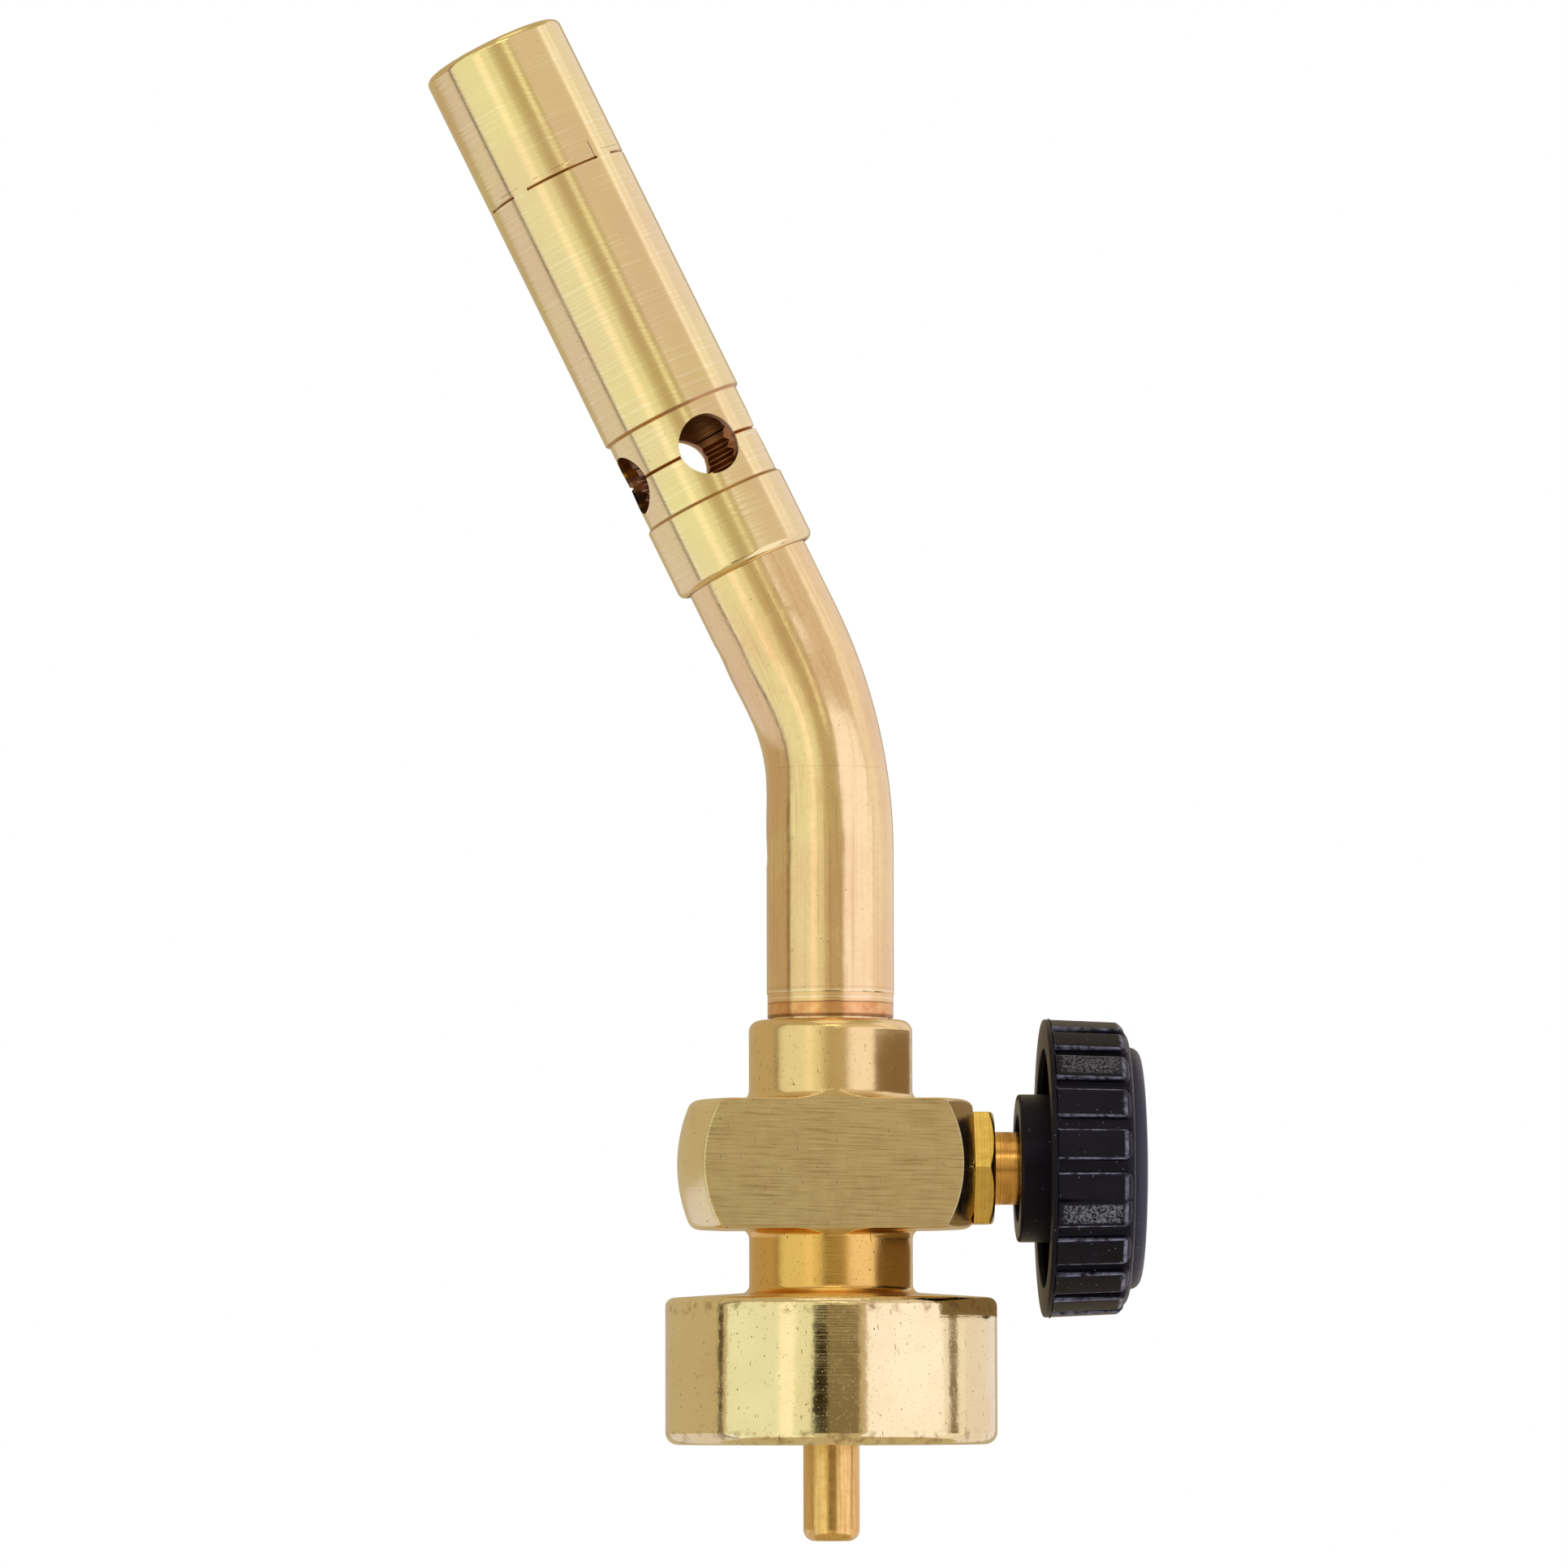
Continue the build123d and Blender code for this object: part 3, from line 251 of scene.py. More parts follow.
def soft_box(name, start, end, low, high, colour, brightness):
    """An area light that covers that stretch of azimuth and elevation, seen from the object."""
    azimuth, elevation = radians((start + end) / 2), radians((low + high) / 2)
    direction = look_from(azimuth, elevation)
    light = bpy.data.lights.new(name, "AREA")
    light.shape = "RECTANGLE"
    height = 2 * ROOM_R * tan(radians(high - low) / 2)
    width = 2 * ROOM_R * tan(radians(end - start) / 2) if end > start else height
    light.size, light.size_y = width, height
    light.color = linear(colour)[:3]
    light.energy = brightness * pi * width * height
    box = bpy.data.objects.new(name, light)
    box.location = aim + direction * ROOM_R
    box.rotation_mode = "QUATERNION"
    box.rotation_quaternion = (-direction).to_track_quat("-Z", "Y")
    box.visible_camera = False
    bpy.context.scene.collection.objects.link(box)


for box_values in SOFT_BOXES:
    soft_box(*box_values)
print(f"{len(SOFT_BOXES)} soft boxes at {ROOM_R} m")

# %% [markdown]
# ### Cards
#
# A mesh card does hide the room behind it, so cards make what is darker than the room. A thin dark
# flag draws the fine line near the left edge of every round piece. Three dim cards close to the
# collar stand for the camera, its stand and the far side of the room. Two small cards between the
# barrel and the knob keep the knob's black mirror image out of the necks. Only reflections see
# these cards.

# %% Flag and dim cards
CARDS = [
    # name, from and to azimuth, lowest and highest height in m, distance in m, colour
    ("left_flag", -86.5, -82.5, -0.6, 0.7, 0.72, "#4E3E26"),
    ("camera_card", -14.5, -5, -0.024, 0.021, 0.25, "#2E2616"),
    ("stand_card", -5, 16, -0.024, 0.021, 0.25, "#86765A"),
    ("right_dim_card", 85, 93, -0.024, 0.021, 0.25, "#8A7A66"),
    ("knob_bounce_high", 51.5, 128.5, 0.0330, 0.0405, 0.0176, "#8A745A"),
    ("knob_bounce_low", 51.5, 128.5, 0.0122, 0.0196, 0.0176, "#7A6444"),
]


def card(name, start, end, low, high, distance, colour):
    """A plain card that only reflections see, standing upright at that stretch of azimuth."""
    azimuth = radians((start + end) / 2)
    width = 2 * distance * tan(radians(end - start) / 2)
    bpy.ops.object.select_all(action="DESELECT")
    bpy.ops.mesh.primitive_plane_add(size=1, location=(0, 0, 0))
    sheet = bpy.context.object
    sheet.name = name
    sheet.scale = (width, high - low, 1)
    sheet.rotation_euler = (pi / 2, 0, azimuth)
    sheet.location = look_from(azimuth, 0) * distance + Vector((0, 0, (low + high) / 2))
    paint = bpy.data.materials.new(name + "_paint")
    paint.use_nodes = True
    paint.node_tree.nodes.clear()
    glow = add(paint.node_tree, "Emission", {"Color": linear(colour), "Strength": 1.0})
    add(paint.node_tree, "OutputMaterial", {"Surface": glow})
    sheet.data.materials.append(paint)
    sheet.visible_camera = False
    sheet.visible_diffuse = False
    sheet.visible_shadow = False


for card_values in CARDS:
    card(*card_values)
print(f"{len(CARDS)} cards")

# %% [markdown]
# ## Rounded edges
#
# A CAD edge is perfectly sharp. A real one is broken with a file, tumbled or moulded with a small
# radius, and that radius is what catches a thin line of light along every edge. The CAD node's own
# mesh stays as it is. A copy is made of it, its loose triangles are merged and joined back into
# flat faces, and a Bevel modifier rounds the edges that are sharp. The copy then takes the node's
# place. A hair-thin radius is enough: 0.1 to 0.2 mm on parts of this size. Shading a flat face
# smoothly into its rounded edge would smear it, so the normals are weighted by face area.

# %% Rounded copies of the CAD pieces
SLOTS = {part["node"]: part["material_slot"] for part in frame["record"]["subparts"]}
BODIES = frame["record"]["behaviour"]["bodies"]
BODY_OF = {name: body for body, names in BODIES.items() for name in names}
SMOOTH_BELOW = radians(35)
MERGE_WITHIN = 0.002 * MM


def rounded_copy(name, radius, sharper_than, flat_within):
    """A copy of a CAD node with its edges rounded, which takes the node's place."""
    piece = bpy.data.objects.new(name + "_rounded", NODES[name].data.copy())
    bpy.context.scene.collection.objects.link(piece)
    bpy.ops.object.select_all(action="DESELECT")
    piece.select_set(True)
    bpy.context.view_layer.objects.active = piece
    if piece.data.has_custom_normals:
        bpy.ops.mesh.customdata_custom_splitnormals_clear()
    bpy.ops.object.mode_set(mode="EDIT")
    bpy.ops.mesh.select_all(action="SELECT")
    bpy.ops.mesh.remove_doubles(threshold=MERGE_WITHIN)
    bpy.ops.mesh.dissolve_limited(angle_limit=radians(flat_within))
    bpy.ops.object.mode_set(mode="OBJECT")
    bevel = piece.modifiers.new("edge", "BEVEL")
    bevel.width = radius
    bevel.segments = 2
    bevel.limit_method = "ANGLE"
    bevel.angle_limit = radians(sharper_than)
    bevel.use_clamp_overlap = False
    bpy.ops.object.modifier_apply(modifier="edge")
    bpy.ops.object.shade_smooth_by_angle(angle=SMOOTH_BELOW)
    evened = piece.modifiers.new("evened", "WEIGHTED_NORMAL")
    evened.keep_sharp = True
    bpy.ops.object.modifier_apply(modifier="evened")
    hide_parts(name)
    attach(piece, BODY_OF[name])
    NODES[name] = piece
    print(name, "now has", len(piece.data.polygons), "faces")


ROUNDED = [
    # node, radius, rounds edges sharper than, flattens within: angles in degrees
    ("knob", 0.14 * MM, 40, 2),
    ("knob_cap", 0.12 * MM, 40, 0.5),
    ("gland_nut", 0.10 * MM, 30, 2),
    ("flame_holder", 0.12 * MM, 40, 2),
    ("valve_body", 0.10 * MM, 35, 1),
    ("knob_screw", 0.10 * MM, 40, 1),
    ("knob_washer", 0.08 * MM, 40, 1),
    ("valve_stem", 0.10 * MM, 45, 1),
]
for rounded_values in ROUNDED:
    rounded_copy(*rounded_values)

# %% [markdown]
# ## Marks that all the brass shares
#
# No machined surface is clean. There are tool lines, scratches from handling, and small dark pits.
# Each is a pattern in the object's own coordinates with a real size in millimetres. A scratch and a
# pit come from the same idea: a Voronoi texture scatters points, space is stretched so that the
# dot round each point becomes as long and as thin as wanted, and only a share of them is kept.

# %% Patterns
CELLS_PER_MARK = 0.25  # a mark's cell is four times as wide as the mark
DOT_CORE, DOT_EDGE = 0.06, 0.13  # a mark is solid out to the first and gone at the second


def material_called(name):
    """A new material with an empty node tree."""
    material = bpy.data.materials.new(name)
    material.use_nodes = True
    material.node_tree.nodes.clear()
    return material


def along(tree, turned=(0, 0, 0), centre=(0, 0, 0)):
    """Object coordinates seen from a centre, with its Z turned to lie along an axis."""
    here = add(tree, "TexCoord").outputs["Object"]
    view = {"Vector": here, "Rotation": turned, "Location": centre}
    return add(tree, "Mapping", view, vector_type="TEXTURE")


def between(tree, value, low, high, soft):
    """1 where a value lies between low and high, fading to 0 over a soft distance."""
    up = {"Value": value, "From Min": low - soft, "From Max": low + soft}
    down = {"Value": value, "From Min": high - soft, "From Max": high + soft}
    down.update({"To Min": 1.0, "To Max": 0.0})
    rise = add(tree, "MapRange", up, interpolation_type="SMOOTHSTEP")
    fall = add(tree, "MapRange", down, interpolation_type="SMOOTHSTEP")
    return add(tree, "Math", {0: rise, 1: fall}, operation="MULTIPLY")


def marks(tree, place, length, width, share, turned=(0, 0, 0)):
    """Marks scattered at random: scratches where the length is more than the width, or specks."""
    stretch = {"Vector": place, "Rotation": turned, "Scale": (width, width, length)}
    space = add(tree, "Mapping", stretch, vector_type="TEXTURE")
    cells = add(tree, "TexVoronoi", {"Vector": space, "Scale": CELLS_PER_MARK})
    chance = add(tree, "SeparateColor", {"Color": cells.outputs["Color"]})
    kept = add(tree, "Math", {0: chance, 1: share}, operation="LESS_THAN")
    fading = {"Value": cells, "From Min": DOT_CORE, "From Max": DOT_EDGE}
    fading.update({"To Min": 1.0, "To Max": 0.0})
    dot = add(tree, "MapRange", fading)
    return add(tree, "Math", {0: dot, 1: kept}, operation="MULTIPLY")


def cloud(tree, place, size, low=0.35, high=0.65, detail=3.0):
    """Soft blotches of about that size, from 0 to 1."""
    noise = add(tree, "TexNoise", {"Vector": place, "Scale": 1 / size, "Detail": detail})
    return add(tree, "MapRange", {"Value": noise, "From Min": low, "From Max": high})


def streaks(tree, place, size, detail, turned=(0, 0, 0)):
    """Noise drawn out to that size on each axis, from 0 to 1."""
    stretch = {"Vector": place, "Rotation": turned, "Scale": size}
    space = add(tree, "Mapping", stretch, vector_type="TEXTURE")
    return add(tree, "TexNoise", {"Vector": space, "Scale": 1.0, "Detail": detail})


def lines(tree, value, pitch, detail=2.0):
    """Fine lines of about that pitch, square to the way the value runs, from 0 to 1."""
    spacing = {"W": value, "Scale": 1 / pitch, "Detail": detail}
    return add(tree, "TexNoise", spacing, noise_dimensions="1D")


def sum_of(tree, *terms):
    """Adds up pairs of a value and its weight."""
    total = 0.0
    for value, weight in terms:
        total = add(tree, "Math", {0: value, 1: weight, 2: total}, operation="MULTIPLY_ADD")
    return total


def tinted(tree, colour, hex_tint, mask, strength=1.0):
    """A colour turned towards another where a mask says so."""
    amount = add(tree, "Math", {0: mask, 1: strength}, operation="MULTIPLY", use_clamp=True)
    return add(tree, "MixRGB", {0: amount, 1: colour, 2: linear(hex_tint)})


def close(material, colour, roughness, height, depth, **fixed):
    """Ends a material: a Principled shader with relief of that depth, and the output."""
    tree = material.node_tree
    relief = add(tree, "Bump", {"Height": height, "Strength": 1.0, "Distance": depth})
    sockets = {"Base Color": colour, "Roughness": roughness, "Normal": relief}
    sockets.update({name.replace("_", " "): value for name, value in fixed.items()})
    shader = add(tree, "BsdfPrincipled", sockets)
    add(tree, "OutputMaterial", {"Surface": shader})
    print("finish", material.name, "with", len(tree.nodes), "nodes")
    return material


FINISHES = {}
print("patterns: streaks, lines, clouds and marks")

# %% [markdown]
# ## Body: turned and polished brass
#
# The collar, necks and barrel are one piece of free-cutting brass, turned on the vertical axis.
# The collar is polished almost to a mirror, the necks keep a softer lathe finish, and the two flats
# were milled with a cutter that ran sideways, so their lines are level and duller. Handling has
# left short scratches and small dark pits. The lower neck is more golden, since a polishing wheel
# can't reach it. The zones are told apart by height and by distance from the flats.

# %% Zones of the body
# The collar is the only part that reaches well past the flats, and above it only the barrel is
# wider than the necks.
BODY_POINTS = [v.co for v in NODES["valve_body"].data.vertices]
COLLAR_TOP = max(co.z for co in BODY_POINTS if abs(co.y) > 1.5 * FLAT_Y)
BARREL_TOP = max(co.z for co in BODY_POINTS if abs(co.x) > 1.3 * FLAT_Y and co.z > COLLAR_TOP)
BARREL_BOTTOM = 2 * FLAT_Z - BARREL_TOP
zones = [round(z / MM, 1) for z in (COLLAR_TOP, BARREL_BOTTOM, BARREL_TOP)]
print("collar's top, barrel's bottom and barrel's top in mm:", zones)

body_brass = material_called("turned_polished_brass")
tree = body_brass.node_tree
place = along(tree)
axes = add(tree, "SeparateXYZ", {"Vector": place})
out_of_flat = add(tree, "Math", {0: axes.outputs["Y"]}, operation="ABSOLUTE")
on_flat = between(tree, out_of_flat, FLAT_Y - 0.06 * MM, FLAT_Y + 1 * MM, 0.03 * MM)
in_barrel = between(tree, axes.outputs["Z"], BARREL_BOTTOM, BARREL_TOP, 0.2 * MM)
flat = add(tree, "Math", {0: on_flat, 1: in_barrel}, operation="MULTIPLY")
in_lower_neck = between(tree, axes.outputs["Z"], COLLAR_TOP, BARREL_BOTTOM, 0.3 * MM)
in_upper_neck = between(tree, axes.outputs["Z"], BARREL_TOP, 1.0, 0.3 * MM)
above_collar = between(tree, axes.outputs["Z"], COLLAR_TOP, 1.0, 0.3 * MM)

# %% [markdown]
# ### Marks on the body
#
# Turning lines go round the collar and necks, and the cutter's lines run across the flats, where
# some streaks are darker and some lighter than the rest. Scratches lie in three directions. Dirt
# keeps to the collar's two rims, where fingers and rags don't rub it off. A lathe's real feed is
# about 0.1 mm a turn, too fine to show, so the lines are drawn about 0.2 mm apart.

# %% Marks on the body
turning = lines(tree, axes.outputs["Z"], 0.2 * MM)
brushing = streaks(tree, place, (5 * MM, 1 * MM, 0.13 * MM), 4.0, (0, radians(1.5), 0))
tool_marks = add(tree, "MixRGB", {0: flat, 1: turning, 2: brushing})
leaning = marks(tree, place, 2.4 * MM, 0.09 * MM, 0.80, (radians(35), radians(20), 0))
crossing = marks(tree, place, 1.8 * MM, 0.08 * MM, 0.80, (radians(-55), radians(30), 0))
upright = marks(tree, place, 1.4 * MM, 0.10 * MM, 0.70, (radians(8), radians(-8), 0))
scratched = sum_of(tree, (leaning, 1.0), (crossing, 1.0), (upright, 1.0))
pits = marks(tree, place, 0.45 * MM, 0.16 * MM, 0.35, (radians(40), 0, 0))
fine_pits = marks(tree, place, 0.13 * MM, 0.13 * MM, 0.40)
worn_places = cloud(tree, place, 4 * MM, 0.42, 0.62)
fewer_pits = add(tree, "Math", {0: fine_pits, 1: worn_places}, operation="MULTIPLY")
pitted = sum_of(tree, (pits, 1.0), (fewer_pits, 0.8))
blotches = cloud(tree, place, 5 * MM)
dulled = cloud(tree, place, 1.3 * MM)
brush_dark = add(tree, "MapRange", {"Value": brushing, "From Min": 0.50, "From Max": 0.66})
brush_light = add(tree, "MapRange", {"Value": brushing, "From Min": 0.46, "From Max": 0.34})
brush_dark = add(tree, "Math", {0: brush_dark, 1: flat}, operation="MULTIPLY")
brush_light = add(tree, "Math", {0: brush_light, 1: flat}, operation="MULTIPLY")
rim_top = between(tree, axes.outputs["Z"], COLLAR_TOP - 1.5 * MM, COLLAR_TOP - 0.5 * MM, 0.5 * MM)
rim_low = between(tree, axes.outputs["Z"], -1 * MM, 1.3 * MM, 0.25 * MM)
grime = cloud(tree, place, 1.0 * MM, 0.50, 0.68)
rims = sum_of(tree, (rim_top, 1.0), (rim_low, 0.8))
rim_grime = add(tree, "Math", {0: rims, 1: grime}, operation="MULTIPLY")
print("marks on the body:", len(tree.nodes), "nodes")

# %% [markdown]
# ### Colour and relief of the body
#
# Each colour below is laid over the one before where its mask says so, from the clean metal up to
# the pits. The relief is only a few thousandths of a millimetre deep.

# %% Colour and relief of the body
height = sum_of(
    tree, (tool_marks, 2.0), (brush_dark, -2.0), (scratched, -3.0), (pitted, -4.0), (dulled, 2.0)
)
colour = tinted(tree, linear("#F8E8B7"), "#EED3A0", blotches, 0.45)
colour = tinted(tree, colour, "#E8B655", in_lower_neck, 0.85)
colour = tinted(tree, colour, "#EECB8A", in_upper_neck, 0.7)
colour = tinted(tree, colour, "#DCC590", flat, 0.8)
colour = tinted(tree, colour, "#9C8048", brush_dark, 0.50)
colour = tinted(tree, colour, "#F6E2B0", brush_light, 0.40)
colour = tinted(tree, colour, "#8A5A22", rim_grime, 0.6)
colour = tinted(tree, colour, "#76501F", scratched, 0.75)
colour = tinted(tree, colour, "#5A3C1A", pitted, 0.85)
roughness = sum_of(
    tree,
    (above_collar, 0.12),
    (flat, 0.10),
    (rim_grime, 0.15),
    (dulled, 0.05),
    (scratched, 0.10),
    (tool_marks, 0.04),
    (1.0, 0.06),
)
FINISHES["turned_brass"] = close(body_brass, colour, roughness, height, 0.0022 * MM, Metallic=1.0)

# %% [markdown]
# ## Burner tube: finely turned brass
#
# The burner was turned with a fine feed, so close rings run round it. They follow the burner's own
# leaning axis, so the coordinates are turned to that axis first. The heat of the flame has browned
# the steps at both ends of the air band and the groove through the air holes, and the inside of the
# tube is dark with oxide. Near the crimp that holds the flame spreader are the marks of the
# crimping jaws: a faint second line and a short tick along the tube.

# %% Zones of the burner
# Heights up the burner, from its foot, in the sizes that it was turned to.
BURNER_LENGTH = 56.0 * MM
BAND_START, BAND_END = 7.1 * MM, 16.5 * MM
HOLE_UP = 11.9 * MM
CRIMP_UP = 41.55 * MM
BEND = Vector((0, 0, BEND_Z))
FOOT_UP = (Quaternion((0, 1, 0), -LEAN).inverted() @ (MOUTH - BEND)).z - BURNER_LENGTH

burner_brass = material_called("fine_turned_brass")
tree = burner_brass.node_tree
place = along(tree, (0, -LEAN, 0), BEND)
axes = add(tree, "SeparateXYZ", {"Vector": place})
from_foot = add(tree, "Math", {0: axes.outputs["Z"], 1: FOOT_UP}, operation="SUBTRACT")
across = add(tree, "CombineXYZ", {"X": axes.outputs["X"], "Y": axes.outputs["Y"]})
radius = add(tree, "VectorMath", {0: across}, operation="LENGTH").outputs["Value"]
inside = between(tree, radius, -1.0 * MM, BURNER_BORE_R + 0.25 * MM, 0.15 * MM)
step_low = between(tree, from_foot, BAND_START, BAND_START + 0.3 * MM, 0.12 * MM)
step_high = between(tree, from_foot, BAND_END - 0.3 * MM, BAND_END, 0.12 * MM)
groove = between(tree, from_foot, HOLE_UP - 0.12 * MM, HOLE_UP + 0.12 * MM, 0.08 * MM)
browned = sum_of(tree, (step_low, 1.0), (step_high, 1.0), (groove, 1.0))
second_line = between(tree, from_foot, CRIMP_UP + 0.55 * MM, CRIMP_UP + 0.62 * MM, 0.05 * MM)
broken = cloud(tree, place, 1.6 * MM, 0.5, 0.56)
jaw_line = add(tree, "Math", {0: second_line, 1: broken}, operation="MULTIPLY")
TICK_X = 0.56 * BURNER_R
tick_across = between(tree, axes.outputs["X"], TICK_X - 0.05 * MM, TICK_X + 0.05 * MM, 0.05 * MM)
tick_up = between(tree, from_foot, CRIMP_UP, CRIMP_UP + 1.8 * MM, 0.1 * MM)
tick_front = between(tree, axes.outputs["Y"], -1.0, 0.0, 0.1 * MM)
tick = add(tree, "Math", {0: tick_across, 1: tick_up}, operation="MULTIPLY")
tick = add(tree, "Math", {0: tick, 1: tick_front}, operation="MULTIPLY")
crimp = between(tree, from_foot, CRIMP_UP - 0.14 * MM, CRIMP_UP + 0.14 * MM, 0.05 * MM)
below_skin = between(tree, radius, 0, BURNER_R - 0.05 * MM, 0.02 * MM)
crimp_dirt = add(tree, "Math", {0: crimp, 1: below_skin}, operation="MULTIPLY")
print(f"burner's foot is {FOOT_UP / MM:.1f} mm up its axis from the bend's corner")

# %% [markdown]
# ### Marks and colour of the burner
#
# The rings are close and even, but show only in patches where the polish has left them. They are
# drawn about 0.3 mm apart, coarser than they were cut, or they wouldn't show. The metal is a little
# pinker in places, from the heat.

# %% Marks and colour of the burner
turning = lines(tree, from_foot, 0.34 * MM, 3.0)
wander = cloud(tree, place, 6 * MM)
scratched = sum_of(
    tree,
    (marks(tree, place, 2.4 * MM, 0.06 * MM, 0.25, (radians(70), 0, radians(20))), 1.0),
    (marks(tree, place, 1.6 * MM, 0.06 * MM, 0.20, (radians(-60), radians(20), 0)), 1.0),
)
pits = marks(tree, place, 0.14 * MM, 0.12 * MM, 0.15)
pinked = cloud(tree, place, 9 * MM, 0.4, 0.6)
ring_light = add(tree, "MapRange", {"Value": turning, "From Min": 0.50, "From Max": 0.36})
ring_patches = cloud(tree, place, 5 * MM, 0.38, 0.60)
ring_light = add(tree, "Math", {0: ring_light, 1: ring_patches}, operation="MULTIPLY")
height = sum_of(
    tree,
    (turning, 4.5),
    (scratched, -2.5),
    (pits, -3.0),
    (jaw_line, -5.0),
    (tick, -7.0),
    (wander, 2.5),
)
colour = tinted(tree, linear("#F5E2A6"), "#F2D8AC", pinked, 0.6)
colour = tinted(tree, colour, "#FFF6CC", ring_light, 0.45)
colour = tinted(tree, colour, "#9C6C2C", scratched, 0.30)
colour = tinted(tree, colour, "#7A4E20", pits, 0.7)
colour = tinted(tree, colour, "#A8642A", browned, 0.75)
colour = tinted(tree, colour, "#8A5426", jaw_line, 0.6)
colour = tinted(tree, colour, "#7A4A22", tick, 0.9)
colour = tinted(tree, colour, "#8A5426", crimp_dirt, 0.7)
colour = tinted(tree, colour, "#94592C", inside, 0.93)
roughness = sum_of(
    tree, (inside, 0.16), (turning, 0.07), (wander, 0.05), (browned, 0.10), (1.0, 0.10)
)
FINISHES["burner_brass"] = close(burner_brass, colour, roughness, height, 0.0022 * MM, Metallic=1.0)

# %% [markdown]
# ## Gas tube: drawn brass
#
# A tube is drawn through a die, which leaves faint streaks that run along it, round the bend and
# all. So the pattern's section has to follow the tube's middle line: below the bend that line goes
# straight up, and above it leans. A smooth maximum of two straight lines gives both and the curve
# between. The metal is pinker than the turned pieces, since tube is made of a brass with more
# copper. Rings left by the cleaning of the joint stand just above the copper-coloured band; the
# brightest of them is a painted highlight along the tube's raised lip. One faint ring from the
# bending tool crosses the tube at the start of its bend.

# %% Zones of the tube
BEND_SOFT = 8 * MM  # over this height the middle line turns from upright to leaning
RING_Z = 64.7 * MM
drawn_brass = material_called("drawn_brass_tube")
tree = drawn_brass.node_tree
place = along(tree)
axes = add(tree, "SeparateXYZ", {"Vector": place})
past_bend = add(tree, "Math", {0: axes.outputs["Z"], 1: BEND_Z}, operation="SUBTRACT")
leaned = add(tree, "Math", {0: past_bend, 1: 0.0, 2: BEND_SOFT}, operation="SMOOTH_MAX")
slope = {0: leaned, 1: tan(LEAN), 2: axes.outputs["X"]}
from_middle = add(tree, "Math", slope, operation="MULTIPLY_ADD")
straightened = {"X": from_middle, "Y": axes.outputs["Y"], "Z": axes.outputs["Z"]}
section = add(tree, "CombineXYZ", straightened)
# A pale line along the tube's raised lip, just above the band, is a painted highlight, with a
# little relief.
raised_lip_highlight = between(tree, axes.outputs["Z"], BAND_TOP + 0.10 * MM, BAND_TOP + 0.25 * MM, 0.05 * MM)
rim_dark = between(tree, axes.outputs["Z"], BAND_TOP - 1 * MM, BAND_TOP + 0.02 * MM, 0.05 * MM)
rim_low = between(tree, axes.outputs["Z"], BAND_TOP + 0.45 * MM, BAND_TOP + 0.55 * MM, 0.08 * MM)
faint_ring = between(tree, axes.outputs["Z"], RING_Z - 0.05 * MM, RING_Z + 0.05 * MM, 0.08 * MM)
browned = sum_of(tree, (rim_dark, 1.0), (rim_low, 0.4), (faint_ring, 0.2))
print(f"tube's middle line bends {BEND_Z / MM:.1f} mm up")

# %% Marks and colour of the tube
drawing = streaks(tree, section, (0.30 * MM, 0.30 * MM, 22 * MM), 3.0)
mottled = cloud(tree, place, 2.2 * MM)
fine_mottle = cloud(tree, place, 0.5 * MM)
pinked = cloud(tree, place, 8 * MM, 0.4, 0.6)
pits = marks(tree, place, 0.16 * MM, 0.14 * MM, 0.22)
scratched = marks(tree, place, 2.0 * MM, 0.06 * MM, 0.22, (radians(60), radians(30), 0))
draw_dark = add(tree, "MapRange", {"Value": drawing, "From Min": 0.55, "From Max": 0.70})
height = sum_of(
    tree,
    (drawing, 3.0),
    (scratched, -2.5),
    (pits, -3.0),
    (mottled, 2.2),
    (fine_mottle, 0.8),
    (raised_lip_highlight, 5.0),
    (rim_dark, -5.0),
)
colour = tinted(tree, linear("#F7DFA8"), "#EFC79A", pinked, 0.55)
colour = tinted(tree, colour, "#E3B98C", fine_mottle, 0.22)
colour = tinted(tree, colour, "#C79A5C", draw_dark, 0.35)
# Painted highlight along the raised lip.
colour = tinted(tree, colour, "#FFF0C8", raised_lip_highlight, 0.6)
colour = tinted(tree, colour, "#9A6A34", browned, 0.6)
colour = tinted(tree, colour, "#8A5A2C", scratched, 0.30)
colour = tinted(tree, colour, "#6E4622", pits, 0.75)
roughness = sum_of(tree, (mottled, 0.06), (drawing, 0.06), (browned, 0.10), (1.0, 0.11))
FINISHES["drawn_brass"] = close(drawn_brass, colour, roughness, height, 0.0022 * MM, Metallic=1.0)

# %% [markdown]
# ## Probe: drawn brass rod
#
# The probe that opens the cylinder's valve is cut from drawn rod and has not been polished. Draw
# lines run up and down it, and the skin is darker and more orange than the turned body.

# %% Probe brass
rod_brass = material_called("drawn_brass_rod")
tree = rod_brass.node_tree
place = along(tree)
drawing = streaks(tree, place, (0.25 * MM, 0.25 * MM, 9 * MM), 3.0)
streaked = add(tree, "MapRange", {"Value": drawing, "From Min": 0.45, "From Max": 0.65})
mottled = cloud(tree, place, 0.8 * MM)
pits = marks(tree, place, 0.18 * MM, 0.12 * MM, 0.30)
height = sum_of(tree, (drawing, 2.0), (pits, -2.0), (mottled, 0.8))
colour = tinted(tree, linear("#F2CB80"), "#C58F48", streaked, 0.5)
colour = tinted(tree, colour, "#D9A45C", mottled, 0.35)
colour = tinted(tree, colour, "#6A421C", pits, 0.8)
roughness = sum_of(tree, (mottled, 0.08), (streaked, 0.06), (1.0, 0.17))
FINISHES["pin_brass"] = close(rod_brass, colour, roughness, height, 0.0025 * MM, Metallic=1.0)

# %% [markdown]
# ## Gland nut and stem: bright and brown machined brass
#
# The hexagon nut is a yellower brass, left as it came from the machine, with the cutter's lines
# round it. The stem is rubbed by the nut's packing and has turned a shiny orange-brown. Both were
# turned on the stem's axis, so their lines are spaced along X.

